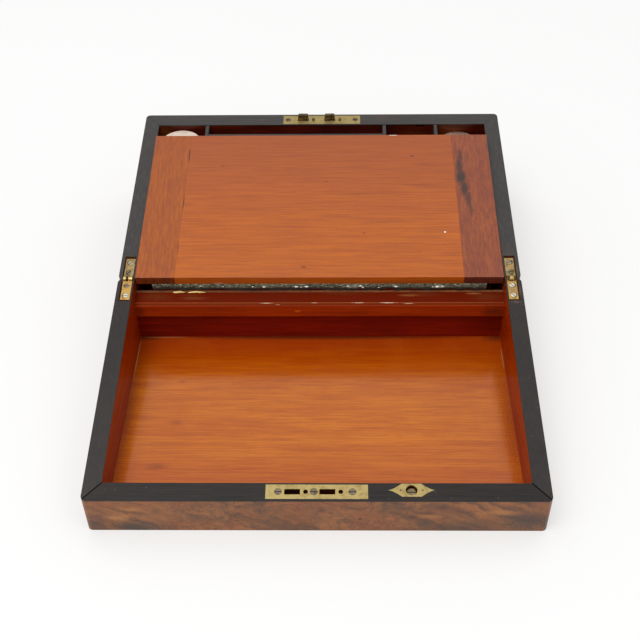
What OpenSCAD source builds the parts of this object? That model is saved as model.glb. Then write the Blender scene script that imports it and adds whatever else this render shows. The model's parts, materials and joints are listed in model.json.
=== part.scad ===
// Victorian walnut writing box, a wedge-split slope, lying fully open.
// Millimetres. X runs to the right, Y from the lid to the base, Z up.
// The origin is on the table, under the middle of the hinge line.

/* [Case] */
// Width of the box from side to side
box_w = 350; // [320:1:380]
// Depth of each half, from the hinge line to the lock side
half_d = 216; // [206:1:226]
// Height of the base at its lock side
base_back_h = 96; // [92:0.5:102]
// Height of the lid at its lock side
lid_front_h = 37; // [35:0.5:40]
// Thickness of the side walls with their veneer
side_t = 14; // [13:0.5:16]
// Thickness of the two walls that hold the lock and its strike plate
lock_wall_t = 15; // [14.5:0.5:18]
// Thickness of the two walls along the hinge line
hinge_wall_t = 12.5; // [10:0.5:15]
// Thickness of the lid's board with its veneer
lid_board_t = 8.5; // [7:0.5:11]
// Thickness of the base's bottom board
floor_t = 8; // [6:0.5:10]
// Thickness of the walnut veneer
veneer_t = 1; // [0.6:0.1:1.6]
// Thickness of the ebonised facing on the rims
facing_t = 0.9; // [0.6:0.1:1.2]
// Radius of the upright outer corners
corner_r = 4; // [2:0.5:6]

/* [Writing flaps] */
// Gap between a flap's end and the side wall
flap_end_gap = 1.5; // [1:0.1:2.5]
// Length of the lower flap
lower_flap_l = 178.5; // [172:0.5:182]
// Thickness of a flap's boards
flap_board_t = 8.6; // [7.5:0.1:9.4]
// Thickness of the velvet
velvet_t = 0.8; // [0.5:0.1:1.2]
// Width of the clamped end of a flap
clamp_w = 34; // [26:0.5:42]
// Distance of the fold line in front of the hinge line
fold_ahead = 9.3; // [8.8:0.1:10]
// Depth of the writing plane below the rims at the fold line
fold_depth = 5; // [4.8:0.1:5.4]
// Angle between the writing plane and the rims
desk_tilt = 1.6; // [1.55:0.05:1.9]
// Distance of the lower flap's edge from the fold line
lower_edge = 6.8; // [6.2:0.1:7.4]
// Width of the open notches at the front corners
end_notch_w = 15; // [10:0.5:18]
// Thickness of the ledge strip on the lid's hinge wall
ledge_t = 4; // [3:0.5:5]
// Height of the ledge strip
ledge_h = 13.2; // [10:0.2:16]
// Reach of the ledge at the lid's lock side
front_ledge_t = 11.5; // [10.5:0.5:13]

/* [Compartments] */
// Depth of the wells, from front to back
well_d = 43.5; // [42.5:0.5:48]
// Width of the two ink wells
well_w = 46.6; // [43.5:0.1:52]
// Width of the open well on the right
stamp_w = 47; // [40:0.5:52]
// Thickness of the partition between the flap and the wells
partition_t = 5.5; // [4.5:0.5:7]
// Thickness of the dividers
divider_t = 3.4; // [2.8:0.2:4.4]
// Depth of the dividers' tops below the rims
divider_drop = 0.5; // [0.4:0.1:0.8]
// Depth of the wells' floor below the rims, in the middle of the wells
well_depth = 58; // [57.5:0.5:62]
// Thickness of the wells' floor
well_floor_t = 6; // [5:0.5:8]
// Depth of the grooves that hold the wells' floor
groove_d = 2; // [1:0.5:2.5]
// Thickness of the long divider behind the pen tray
long_divider_t = 2.4; // [2:0.1:3]
// Width of the pen tray, from front to back
tray_d = 27.2; // [25:0.2:29]
// Height of the pen tray at its back
tray_h = 22; // [16:0.5:26]
// Radius of the pen tray's cove
cove_r = 11.4; // [8:0.2:12]

/* [Inkwells] */
// Side of the square glass bottle
ink_w = 38.4; // [34:0.2:39.2]
// Height of the right bottle's square body
ink_body_h = 33; // [28:0.5:33.5]
// Extra height of the left bottle
left_lift = 2.4; // [0:0.1:2.6]
// Radius of the bottle's bore
ink_bore_r = 11; // [8:0.5:12]
// Radius of the cap
cap_r = 19.2; // [18:0.1:19.4]
// Depth of the right cap's top below the rims
cap_drop = 5.2; // [5.1:0.1:6]
// Height of the cap
cap_h = 12; // [10:0.5:13]

/* [Lock] */
// Length of the lock plate and of the strike plate
plate_l = 76.2; // [72:0.2:82]
// Width of both plates
plate_w = 12.2; // [11:0.1:13]
// Thickness of both plates
plate_t = 1.5; // [1.2:0.1:2]
// Distance of the plates' middle line from the edge of the lock side
plate_inset = 7.8; // [7.6:0.1:8]
// Distance between the two hooks
hook_pitch = 26.2; // [24:0.2:30]
// Height of the hooks above the lock plate
hook_h = 6.8; // [6:0.1:7.6]
// Length of a hook's head
hook_l = 10.2; // [9:0.1:10.3]
// Travel of the bolt
bolt_travel = 2.4; // [2:0.1:2.6]
// Length of the lock case
case_l = 56; // [50:1:60]
// Depth of the lock case below its plate
case_h = 23; // [22:0.5:23.5]
// Thickness of the lock case
case_t = 7; // [6.8:0.1:7.4]

/* [Hinges] */
// Width of a hinge leaf
leaf_w = 8; // [7.6:0.2:9]
// Length of a hinge leaf
leaf_l = 23.5; // [22:0.5:25]
// Thickness of a hinge leaf
leaf_t = 1.4; // [1.2:0.1:1.6]
// Radius of the hinge knuckles
knuckle_r = 2.2; // [2:0.1:2.4]
// Radius of the hinge pins
pin_r = 0.9; // [0.8:0.05:1.1]
// Distance of the hinge's middle from the box's side
hinge_inset = 8.5; // [8:0.1:9]

/* [Lozenge plate] */
// Distance of the lozenge plate from the box's middle
lozenge_x = 71; // [56:0.5:120]
// Length of the lozenge plate
lozenge_l = 34.8; // [30:0.2:40]
// Width of the lozenge plate
lozenge_w = 11; // [10:0.2:12]
// Radius of its hole
lozenge_hole_r = 4.3; // [3.8:0.1:4.6]

/* [Hidden] */
$fn = 64;

// Running clearances
half_gap = 0.15;    // between the two halves and their shared plane
flap_gap = 0.1;     // between a flap and the writing plane
seat_gap = 0.15;    // between a flap and what it rests on
fit_gap = 0.1;      // between a fixed fitting and its seat
run_gap = 0.3;      // between curved faces that move past each other
pin_gap = 0.05;     // around a hinge pin
loose_gap = 0.4;    // around the pen tray and the flaps' edges

slope = atan((base_back_h - lid_front_h) / (2 * half_d));
mid_h = (base_back_h + lid_front_h) / 2;
reach = 2 * box_w;
inner_x = box_w / 2 - side_t;
flap_w = 2 * (inner_x - flap_end_gap);
back_in_y = half_d - lock_wall_t;
partition_back_y = back_in_y - well_d;
partition_front_y = partition_back_y - partition_t;
flap_t = flap_board_t + velvet_t;
seat_n = flap_gap + flap_t + seat_gap;

// Upper flap, measured along the writing plane from the fold line
desk_angle = slope + desk_tilt;
desk_y = fold_depth * sin(slope) - fold_ahead * cos(slope);
upper_edge = fold_ahead + 0.8;
upper_back_y = partition_front_y - loose_gap - (flap_gap + flap_t) * sin(desk_angle);
upper_end = (upper_back_y - desk_y) / cos(desk_angle);
upper_notch_l = 16;

// Compartment places
outer_divider_x = inner_x - well_w - divider_t / 2;
middle_divider_x = outer_divider_x - stamp_w - divider_t;
tray_left_x = -outer_divider_x + divider_t / 2 + loose_gap;
tray_right_x = middle_divider_x - divider_t / 2 - loose_gap;
tray_y = partition_back_y + loose_gap;
tray_bottom_z = mid_h + (tray_y + tray_d) * tan(slope) - tray_h;
bearer_w = 6;
wells_y = partition_back_y + well_d / 2;
well_floor_z = mid_h + wells_y * tan(slope) - well_depth;
ink_y = back_in_y - cap_r - 0.6;
ink_bottom_z = well_floor_z + fit_gap;
neck_r = 14.5;
shoulder_h = 3.5;
bore_floor_t = 5;
cap_room = 5;       // from a collar's top to its cap's top
stamp_notch = [8.2, 3, 4];
stamp_notch_x = outer_divider_x - 14.9;

// Lock places
plate_x = 0.5;
plate_v = half_d / cos(slope) - plate_inset;
case_shift = 1;
slot_x = plate_x - hook_pitch / 2 - 5.2;
slot_l = 10.7;
slot_w = 3.4;
strike_slot_l = 11.8;
strike_slot_w = 4.6;
steady_shift = 10;
steady_r = 1.4;
steady_h = 2.4;
hook_stem_w = 5.2;
hook_t = 2.8;
hook_x = slot_x - hook_l / 2;
wall_of_case = 1;
bolt_drop = plate_t + 0.3;
bolt_h = 7;
bolt_t = 2.2;
key_drop = 15.5;
drill_pin_r = 1.2;
keyhole_r = 2.4;
lock_screw_shift = 33.2;
strike_screw_x = [-28.8, -2.2, 26.6];
escutcheon_r = 6.6;
escutcheon_t = 1.6;

// Hinge places
hinge_x = box_w / 2 - hinge_inset;
recess_end = [1.4, 3];     // past the leaf's end in the lid, in the base
recess_side = [0.4, 1.3];  // beside the leaf, inner and outer
knuckle_l = (leaf_w - 2 * fit_gap) / 3;
leaf_screws = [leaf_l * 0.328, leaf_l * 0.8];

// Countersunk screws: head radius, shank radius, length
hinge_screw = [2.3, 1.2, 7];
plate_screw = [2.6, 1.4, 9];
deep_screw = [3.3, 1.9, 14];

// Frame of the rims: x, distance from the hinge line up the slope, height over the rims
module rim_frame() {
    translate([0, 0, mid_h]) rotate([slope, 0, 0]) children();
}

// Frame of the writing plane, with its origin on the fold line
module desk_frame() {
    rim_frame() translate([0, -fold_ahead, -fold_depth]) rotate([desk_tilt, 0, 0]) children();
}

// Frame of the lock on the base
module lock_frame() {
    rim_frame() translate([plate_x, plate_v, -half_gap]) children();
}

// Frame of the strike plate, which hangs its parts downwards too
module strike_frame() {
    rim_frame() translate([plate_x, -plate_v, -half_gap]) children();
}

// Everything that is less than depth below the rims, or above them
module above_rims(depth) {
    rim_frame() translate([-reach / 2, -reach / 2, -depth]) cube([reach, reach, reach]);
}

// Everything that is less than depth below the writing plane, or above it
module above_desk(depth) {
    desk_frame() translate([-reach / 2, -reach / 2, -depth]) cube([reach, reach, reach]);
}

module rounded_plan(x0, x1, y0, y1, r) {
    translate([x0 + r, y0]) square([x1 - x0 - 2 * r, y1 - y0]);
    translate([x0, y0 + r]) square([x1 - x0, y1 - y0 - 2 * r]);
    for (x = [x0 + r, x1 - r], y = [y0 + r, y1 - r]) translate([x, y]) circle(r);
}

// Plan of one half: side 1 is the base, side -1 the lid
module half_plan(side, inset) {
    y0 = side > 0 ? half_gap : -half_d;
    y1 = side > 0 ? half_d : -half_gap;
    rounded_plan(-box_w / 2 + inset, box_w / 2 - inset, y0 + inset, y1 - inset, corner_r - inset);
}

module half_prism(side, inset) {
    linear_extrude(base_back_h + lid_front_h) half_plan(side, inset);
}

// Wedge that parts the mitred facings at the lock side
module lock_wedge(side, across, along) {
    h = box_w / 2;
    linear_extrude(base_back_h + lid_front_h) polygon([
        [-h, side * half_d], [h, side * half_d],
        [h - across, side * (half_d - along)], [-h + across, side * (half_d - along)]]);
}

// A cube between two corners
module block(a, b) {
    translate(a) cube(b - a);
}

// Countersunk screw with its head up at z = 0; grow widens it into its own hole
module screw_body(size, grow) {
    head = size[0] + grow;
    shank = size[1] + grow;
    rotate_extrude($fn = 48) polygon([
        [0, grow > 0 ? 1 : 0], [head, grow > 0 ? 1 : 0], [head, -0.3 - grow],
        [shank, -0.3 - grow - (size[0] - size[1])], [shank, -size[2] - grow], [0, -size[2] - grow]]);
}

module screw(size) {
    slot_depth = 0.6;
    difference() {
        screw_body(size, 0);
        translate([-size[0] - 1, -size[0] * 0.13, -slot_depth])
            cube([2 * size[0] + 2, size[0] * 0.26, 1]);
    }
}

module screw_hole(size) {
    screw_body(size, fit_gap / 2);
}

// Hinges: side 1 right, -1 left; half 1 base, -1 lid
module at_hinge(side) {
    rim_frame() translate([side * hinge_x, 0, 0]) children();
}

module at_leaf_screws(side, half) {
    at_hinge(side) for (v = leaf_screws) translate([0, half * v, -half_gap]) children();
}

module hinge_recess(side) {
    start_x = -leaf_w / 2 - recess_side[side > 0 ? 0 : 1];
    w = leaf_w + recess_side[0] + recess_side[1];
    l = 2 * leaf_l + recess_end[0] + recess_end[1];
    at_hinge(side) {
        translate([start_x, -leaf_l - recess_end[0], -half_gap - leaf_t - fit_gap]) cube([w, l, leaf_t + 5]);
        rotate([0, 90, 0]) cylinder(r = knuckle_r + run_gap, h = leaf_w + 2 * fit_gap, center = true);
    }
    for (half = [-1, 1]) at_leaf_screws(side, half) screw_hole(hinge_screw);
}

module knuckle(middle) {
    shift = middle ? [0] : [-1, 1];
    for (k = shift) translate([k * (knuckle_l + fit_gap), 0, 0]) rotate([0, 90, 0])
        cylinder(r = knuckle_r, h = knuckle_l, center = true);
}

// The right hinge is turned end for end: its base leaf has the middle knuckle, the left one's has the outer two
module hinge_leaf(side, half) {
    start = knuckle_r + run_gap;
    middle = side * half > 0;
    difference() {
        at_hinge(side) {
            difference() {
                union() {
                    translate([-leaf_w / 2, half > 0 ? start : -leaf_l, -half_gap - leaf_t])
                        cube([leaf_w, leaf_l - start, leaf_t]);
                    for (k = middle ? [0] : [-1, 1]) translate([k * (knuckle_l + fit_gap), 0, 0])
                        translate([-knuckle_l / 2, half > 0 ? 0 : -start - 1, -half_gap - leaf_t])
                            cube([knuckle_l, start + 1, leaf_t]);
                    knuckle(middle);
                }
                rotate([0, 90, 0]) cylinder(r = pin_r + pin_gap, h = 2 * leaf_w, center = true, $fn = 48);
            }
        }
        at_leaf_screws(side, half) screw_hole(hinge_screw);
    }
}

// Cutters for the lock in the base's back wall and rim
module lock_cutter() {
    lock_frame() {
        block([-plate_l / 2, -plate_w / 2, -plate_t], [plate_l / 2, plate_w / 2, 5]);
        translate([0, -case_shift, 0])
            block([-case_l / 2 - fit_gap, -case_t / 2 - fit_gap, -case_h - fit_gap],
                [case_l / 2 + fit_gap, case_t / 2 + fit_gap, 0]);
    }
    at_lock_screws() screw_hole(plate_screw);
    keyhole(half_d);
    escutcheon_disc(fit_gap / 2);
}

module at_lock_screws() {
    lock_frame() for (x = [-lock_screw_shift, lock_screw_shift]) translate([x, 0, 0]) children();
}

module at_hooks() {
    lock_frame() for (k = [0, 1]) translate([slot_x - plate_x + k * hook_pitch, 0, 0]) children();
}

// The keyhole runs from the lock's middle towards the back
module keyhole(length) {
    lock_frame() translate([0, 0, -key_drop]) rotate([-90, 0, 0]) {
        cylinder(r = keyhole_r, h = length);
        translate([-keyhole_r * 0.45, 0, 0]) cube([keyhole_r * 0.9, keyhole_r * 3, length]);
    }
}

// Round thread escutcheon, let in flush with the back
module escutcheon_disc(grow) {
    over = grow > 0 ? 1 : 0;
    middle_z = mid_h + half_d * tan(slope) - key_drop / cos(slope) - keyhole_r;
    translate([plate_x, half_d + over, middle_z]) rotate([90, 0, 0])
        cylinder(r = escutcheon_r + grow, h = escutcheon_t + over);
}

module strike_cutter() {
    strike_frame() block([-plate_l / 2, -plate_w / 2, -plate_t], [plate_l / 2, plate_w / 2, 5]);
    strike_frame() for (k = [0, 1]) translate([slot_x - plate_x + k * hook_pitch, 0, 0]) {
        block([-strike_slot_l / 2, -strike_slot_w / 2 - 0.4, -hook_h - 1.5],
            [strike_slot_l / 2 + bolt_travel + 1, strike_slot_w / 2 + 0.4, 0]);
        translate([steady_shift, 0, -steady_h - 1]) cylinder(r = steady_r + run_gap + 0.1, h = steady_h + 1);
    }
    at_strike_screws() screw_hole(plate_screw);
}

module at_strike_screws() {
    strike_frame() for (x = strike_screw_x) translate([x, 0, 0]) children();
}

module at_lozenge() {
    lozenge_v = (half_d - lock_wall_t) / cos(slope) + lozenge_w / 2 + 0.4;
    rim_frame() translate([lozenge_x, -lozenge_v, -half_gap]) children();
}

// Half of the lozenge's outline: a flat, then a hollow curve out to the point
module lozenge_outline(grow) {
    flat = lozenge_l * 0.21;
    half_w = lozenge_w / 2 + grow;
    tip = lozenge_l / 2 + grow;
    bow = [for (k = [0:8]) let (t = k / 8) [flat + (tip - flat) * t, half_w * pow(1 - t, 1.45)]];
    polygon(concat(bow, [for (k = [7:-1:0]) [bow[k][0], -bow[k][1]]],
        [for (k = [0:7]) [-bow[k][0], -bow[k][1]]], [for (k = [8:-1:0]) [-bow[k][0], bow[k][1]]]));
}

module lozenge_cutter() {
    at_lozenge() {
        translate([0, 0, -plate_t]) linear_extrude(plate_t + 5) lozenge_outline(0);
        translate([0, 0, -4]) cylinder(r = lozenge_hole_r, h = 5);
        translate([0, 0, -3.2]) screw_hole(deep_screw);
        for (x = [-1, 1]) translate([x * lozenge_l * 0.235, 0, -6]) cylinder(r = 0.7, h = 7, $fn = 24);
    }
}

// Base: boards
module base_floor() {
    color("#8a4a24") block([-inner_x, hinge_wall_t, 0], [inner_x, back_in_y, floor_t]);
}

module side_wall(side, half, bottom) {
    difference() {
        intersection() {
            half_prism(half, veneer_t);
            block([side > 0 ? inner_x : -box_w / 2, -half_d, bottom],
                [side > 0 ? box_w / 2 : -inner_x, half_d, base_back_h]);
        }
        above_rims(half_gap + facing_t);
        hinge_recess(side);
    }
}

module base_left_wall() {
    color("#9c4a1c") side_wall(-1, 1, 0);
}

module base_right_wall() {
    color("#9c4a1c") side_wall(1, 1, 0);
}

module well_floor_board() {
    block([-inner_x, partition_back_y - groove_d, well_floor_z - well_floor_t],
        [inner_x, back_in_y + groove_d, well_floor_z]);
}

module base_back_wall() {
    color("#9c4a1c") difference() {
        block([-inner_x, back_in_y, 0], [inner_x, half_d - veneer_t, base_back_h]);
        above_rims(half_gap + facing_t);
        well_floor_board();
        lock_cutter();
        stamp_well_notch();
    }
}

// Small notch under the rim, in the open well's back
module stamp_well_notch() {
    top_z = mid_h + back_in_y * tan(slope);
    block([stamp_notch_x - stamp_notch[0] / 2, back_in_y - 1, top_z - stamp_notch[2]],
        [stamp_notch_x + stamp_notch[0] / 2, back_in_y + stamp_notch[1], top_z]);
}

module base_front_wall() {
    notch_drop = 12;
    color("#9c4a1c") difference() {
        block([-inner_x, half_gap + veneer_t, 0], [inner_x, hinge_wall_t, mid_h]);
        above_desk(seat_n);
        for (side = [-1, 1]) intersection() {
            block([side > 0 ? inner_x - end_notch_w : -inner_x - 1, 0, 0],
                [side > 0 ? inner_x + 1 : -inner_x + end_notch_w, hinge_wall_t + 1, mid_h]);
            above_desk(seat_n + notch_drop);
        }
    }
}

// Walnut veneer round one half, cut away over the ledge on the hinge side
module veneer_ring(half, bottom) {
    difference() {
        half_prism(half, 0);
        translate([0, 0, -1]) linear_extrude(reach) half_plan(half, veneer_t);
        above_rims(half_gap + facing_t);
        translate([0, 0, bottom - reach]) linear_extrude(reach) square(2 * reach, center = true);
        intersection() {
            block([-inner_x, -2 * corner_r, 0], [inner_x, 2 * corner_r, base_back_h]);
            above_desk(seat_n);
        }
        for (side = [-1, 1]) hinge_recess(side);
    }
}

module base_veneer() {
    color("#7a5236") difference() {
        veneer_ring(1, 0);
        keyhole(half_d);
        escutcheon_disc(fit_gap / 2);
    }
}

// Ebonised facings on the rims
module rim_slab() {
    rim_frame() translate([-reach / 2, -reach / 2, -half_gap - facing_t]) cube([reach, reach, facing_t]);
}

module side_rims(half) {
    for (side = [-1, 1]) difference() {
        intersection() {
            rim_slab();
            half_prism(half, 0);
            block([side > 0 ? inner_x : -reach, -reach, 0], [side > 0 ? reach : -inner_x, reach, reach]);
        }
        lock_wedge(half, side_t, lock_wall_t);
        hinge_recess(side);
    }
}

module lock_rim(half) {
    intersection() {
        rim_slab();
        half_prism(half, 0);
        lock_wedge(half, side_t, lock_wall_t);
    }
}

module base_side_rims() {
    color("#3a3836") side_rims(1);
}

module base_back_rim() {
    color("#3a3836") difference() {
        lock_rim(1);
        lock_cutter();
    }
}

// Base: compartments
module well_partition() {
    color("#8a3c18") difference() {
        block([-inner_x, partition_front_y, floor_t], [inner_x, partition_back_y, base_back_h]);
        above_rims(divider_drop);
        well_floor_board();
    }
}

module flap_rest() {
    rest_t = 6;
    rest_h = 12;
    color("#8a3c18") difference() {
        translate([-inner_x, partition_front_y - rest_t,
            mid_h + partition_front_y * tan(slope) - seat_n - rest_h])
            cube([2 * inner_x, rest_t, reach]);
        above_desk(seat_n);
    }
}

module well_floor() {
    color("#8a3c18") well_floor_board();
}

module divider(x) {
    color("#3a3836") difference() {
        block([x - divider_t / 2, partition_back_y, well_floor_z],
            [x + divider_t / 2, back_in_y, base_back_h]);
        above_rims(divider_drop);
    }
}

module divider_left() {
    divider(-outer_divider_x);
}

module divider_middle() {
    divider(middle_divider_x);
}

module divider_right() {
    divider(outer_divider_x);
}

// Thin board along the tray's back
module divider_long() {
    back_y = tray_y + tray_d + loose_gap;
    color("#3a3836") difference() {
        block([-outer_divider_x + divider_t / 2, back_y, well_floor_z],
            [middle_divider_x - divider_t / 2, back_y + long_divider_t, base_back_h]);
        above_rims(divider_drop);
    }
}

module tray_bearers() {
    left = tray_left_x - loose_gap;
    right = tray_right_x + loose_gap;
    color("#8a3c18") for (x = [left, right - bearer_w])
        block([x, partition_back_y, tray_bottom_z - bearer_w],
            [x + bearer_w, tray_y + tray_d, tray_bottom_z]);
}

module pen_tray() {
    middle_y = tray_y + tray_d / 2;
    top_z = mid_h + middle_y * tan(slope) - divider_drop / cos(slope);
    end_wall = 9;
    cove_l = tray_right_x - tray_left_x - 2 * (end_wall + cove_r);
    color("#7c3616") difference() {
        block([tray_left_x, tray_y, tray_bottom_z], [tray_right_x, tray_y + tray_d, base_back_h]);
        above_rims(divider_drop);
        translate([tray_left_x + end_wall + cove_r, middle_y, top_z]) {
            rotate([0, 90, 0]) cylinder(r = cove_r, h = cove_l);
            sphere(cove_r);
            translate([cove_l, 0, 0]) sphere(cove_r);
        }
    }
}

// Inkwells: side 1 right, -1 left
function ink_lift(side) = side < 0 ? left_lift : 0;
function cap_top(side) = mid_h + ink_y * tan(slope) - cap_drop + ink_lift(side);

// The left bottle stands in the middle of its well, the right one near the divider
module at_ink(side) {
    x = side < 0 ? well_w / 2 - inner_x : inner_x - well_w + ink_w / 2 + 0.6;
    translate([x, ink_y, 0]) children();
}

module inkwell(side) {
    half_w = ink_w / 2;
    bevel = 4;
    body_h = ink_body_h + ink_lift(side);
    top_z = ink_bottom_z + body_h;
    neck_h = cap_top(side) - cap_room - 1 - top_z;
    color([0.78, 0.86, 0.84, 0.6]) at_ink(side) difference() {
        union() {
            translate([0, 0, ink_bottom_z]) linear_extrude(body_h) polygon([
                [half_w, -half_w + bevel], [half_w, half_w - bevel], [half_w - bevel, half_w],
                [-half_w + bevel, half_w], [-half_w, half_w - bevel], [-half_w, -half_w + bevel],
                [-half_w + bevel, -half_w], [half_w - bevel, -half_w]]);
            translate([0, 0, top_z]) rotate_extrude() polygon([
                [0, 0], [half_w - 1, 0], [neck_r, shoulder_h], [neck_r, neck_h], [0, neck_h]]);
        }
        translate([0, 0, ink_bottom_z + bore_floor_t]) cylinder(r = ink_bore_r, h = reach);
    }
}

module inkwell_left() {
    inkwell(-1);
}

module inkwell_right() {
    inkwell(1);
}

module inkwell_collar(side) {
    shoulder_z = ink_bottom_z + ink_body_h + ink_lift(side) + shoulder_h;
    collar_top_z = cap_top(side) - cap_room;
    inner = neck_r + fit_gap / 2;
    color("#b08d4c") at_ink(side) rotate_extrude() polygon([
        [inner, shoulder_z + fit_gap], [inner + 3, shoulder_z + fit_gap], [inner + 3, shoulder_z + 2.5],
        [inner + 1.4, shoulder_z + 3.4], [inner + 1.4, collar_top_z], [ink_bore_r, collar_top_z],
        [ink_bore_r, collar_top_z - 1], [inner, collar_top_z - 1]]);
}

module inkwell_collar_left() {
    inkwell_collar(-1);
}

module inkwell_collar_right() {
    inkwell_collar(1);
}

// Round cap: a skirt round the collar under a wide plate with a rounded edge
module inkwell_cap(side, colour) {
    skirt_in = neck_r + fit_gap / 2 + 1.4 + run_gap;
    edge = 1.4;
    plate_h = 4.4;
    under = run_gap - cap_room;
    color(colour) at_ink(side) translate([0, 0, cap_top(side)]) rotate_extrude() union() {
        polygon([[0, under], [skirt_in, under], [skirt_in, -cap_h],
            [skirt_in + 1.5, -cap_h], [skirt_in + 1.5, -plate_h], [cap_r, -plate_h], [cap_r, -edge],
            [cap_r - edge, -edge], [cap_r - edge, 0], [0, 0]]);
        translate([cap_r - edge, -edge]) intersection() {
            circle(edge, $fn = 32);
            square(edge);
        }
    }
}

module inkwell_cap_left() {
    inkwell_cap(-1, "#d9cfbc");
}

module inkwell_cap_right() {
    inkwell_cap(1, "#8c7f6c");
}

// Lock
module lock_plate() {
    color("#b39552") difference() {
        lock_frame() block([-plate_l / 2, -plate_w / 2, -plate_t], [plate_l / 2, plate_w / 2, 0]);
        at_hooks() {
            block([-slot_l / 2, -slot_w / 2, -reach / 4], [slot_l / 2, slot_w / 2, reach / 4]);
            translate([steady_shift, 0, -5]) cylinder(r = steady_r, h = 10, $fn = 32);
        }
        at_lock_screws() screw_hole(plate_screw);
    }
}

module lock_case() {
    inside_t = case_t / 2 - wall_of_case;
    color("#a08544") {
        difference() {
            lock_frame() translate([0, -case_shift, 0]) difference() {
                block([-case_l / 2, -case_t / 2, -case_h], [case_l / 2, case_t / 2, -plate_t]);
                block([-case_l / 2 + wall_of_case, -inside_t, -case_h + wall_of_case],
                    [case_l / 2 - wall_of_case, inside_t, 0]);
            }
            keyhole(case_t);
        }
        lock_frame() translate([0, -case_shift - inside_t - wall_of_case / 2, -key_drop]) rotate([-90, 0, 0])
            cylinder(r = drill_pin_r, h = case_t, $fn = 32);
    }
}

// Bolt: a sliding plate with a talon for the key and two hooks
module lock_bolt() {
    bottom = -bolt_drop - bolt_h;
    talon_r = 3.6;
    color("#8f8a80") {
        lock_frame() translate([0, bolt_t / 2, 0]) rotate([90, 0, 0]) linear_extrude(bolt_t) difference() {
            translate([-case_l / 2 + wall_of_case + 0.5, bottom])
                square([case_l - 2 * wall_of_case - bolt_travel - 1, bolt_h]);
            translate([0, bottom]) circle(talon_r, $fn = 32);
        }
        lock_frame() for (k = [0, 1]) translate([hook_x - plate_x + k * hook_pitch, hook_t / 2, 0])
            rotate([90, 0, 0]) linear_extrude(hook_t) hook_outline();
    }
}

// Side view of a hook: a stem from inside the bolt, and a head with its nose towards +X
module hook_outline() {
    corner = 1.6;
    nose_low = half_gap * 2 + plate_t + 0.35;
    translate([0, -bolt_drop - bolt_h / 2]) square([hook_stem_w, bolt_h / 2 + bolt_drop + hook_h - corner]);
    translate([0, nose_low]) square([hook_l, hook_h - corner - nose_low]);
    translate([corner, nose_low]) square([hook_l - 2 * corner, hook_h - nose_low]);
    for (x = [corner, hook_l - corner]) translate([x, hook_h - corner]) circle(corner, $fn = 32);
}

module lock_spring() {
    blade = 0.5;
    bottom = -case_h + wall_of_case;
    top = -bolt_drop - bolt_h - 0.25;
    foot = 1.2;
    end_x = case_l / 2 - 4;
    spring_l = case_l * 0.21;
    spring_w = case_t - 4;
    color("#77736c") lock_frame() translate([0, spring_w / 2 - case_shift + 0.4, 0]) rotate([90, 0, 0])
        linear_extrude(spring_w) union() {
            translate([end_x - spring_l - foot, bottom]) square([spring_l + foot, foot]);
            polygon([[end_x - foot, bottom + foot / 2], [end_x, bottom + foot / 2], [end_x, top - 2],
                [end_x - spring_l, top], [end_x - spring_l, top - blade],
                [end_x - blade, top - 2 - blade], [end_x - blade, bottom + foot]]);
        }
}

module steady_pins() {
    color("#b39552") at_hooks() translate([steady_shift, 0, -plate_t]) union() {
        cylinder(r = steady_r, h = plate_t + steady_h - 0.8, $fn = 32);
        translate([0, 0, plate_t + steady_h - 0.8])
            cylinder(r1 = steady_r, r2 = steady_r * 0.5, h = 0.8, $fn = 32);
    }
}

module lock_screws() {
    color("#9c8a5c") at_lock_screws() screw(plate_screw);
}

module keyhole_escutcheon() {
    color("#b39552") difference() {
        escutcheon_disc(0);
        keyhole(half_d);
    }
}

// Lid: boards
module lid_top_veneer() {
    color("#7a5236") linear_extrude(veneer_t) half_plan(-1, 0);
}

module lid_board() {
    color("#c8661e")
        block([-inner_x, -half_d + lock_wall_t, veneer_t], [inner_x, -hinge_wall_t, lid_board_t]);
}

module lid_left_wall() {
    color("#a04a14") side_wall(-1, -1, veneer_t);
}

module lid_right_wall() {
    color("#a04a14") side_wall(1, -1, veneer_t);
}

module lid_front_wall() {
    color("#a04a14") difference() {
        block([-inner_x, -half_d + veneer_t, veneer_t], [inner_x, -half_d + lock_wall_t, base_back_h]);
        above_rims(half_gap + facing_t);
        strike_cutter();
        lozenge_cutter();
    }
}

module lid_hinge_wall() {
    color("#8c3a12") difference() {
        block([-inner_x, -hinge_wall_t, veneer_t], [inner_x, -half_gap - veneer_t, mid_h]);
        above_desk(seat_n);
    }
}

module lid_veneer() {
    color("#7a5236") veneer_ring(-1, veneer_t);
}

module lid_side_rims() {
    color("#3a3836") side_rims(-1);
}

module lid_front_rim() {
    color("#3a3836") difference() {
        lock_rim(-1);
        strike_cutter();
        lozenge_cutter();
    }
}

// Strips that the lower flap lies on
module lid_hinge_ledge() {
    top_z = mid_h - hinge_wall_t * tan(slope) - seat_n - fold_depth;
    color("#a8501c") difference() {
        translate([-inner_x, -hinge_wall_t - ledge_t, top_z - ledge_h]) cube([2 * inner_x, ledge_t, reach]);
        above_desk(seat_n);
    }
}

module lid_front_ledge() {
    color("#a8501c") difference() {
        block([-inner_x, -half_d + lock_wall_t, lid_board_t],
            [inner_x, -half_d + lock_wall_t + front_ledge_t, base_back_h]);
        above_desk(seat_n);
    }
}

// Lid: fittings
module strike_plate() {
    color("#b39552") difference() {
        strike_frame() block([-plate_l / 2, -plate_w / 2, -plate_t], [plate_l / 2, plate_w / 2, 0]);
        strike_frame() for (k = [0, 1]) translate([slot_x - plate_x + k * hook_pitch, 0, 0]) {
            block([-strike_slot_l / 2, -strike_slot_w / 2, -5], [strike_slot_l / 2, strike_slot_w / 2, 5]);
            translate([steady_shift, 0, -5]) cylinder(r = steady_r + run_gap + 0.1, h = 10, $fn = 32);
        }
        at_strike_screws() screw_hole(plate_screw);
    }
}

module strike_screws() {
    color("#9c8a5c") at_strike_screws() screw(plate_screw);
}

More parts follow.
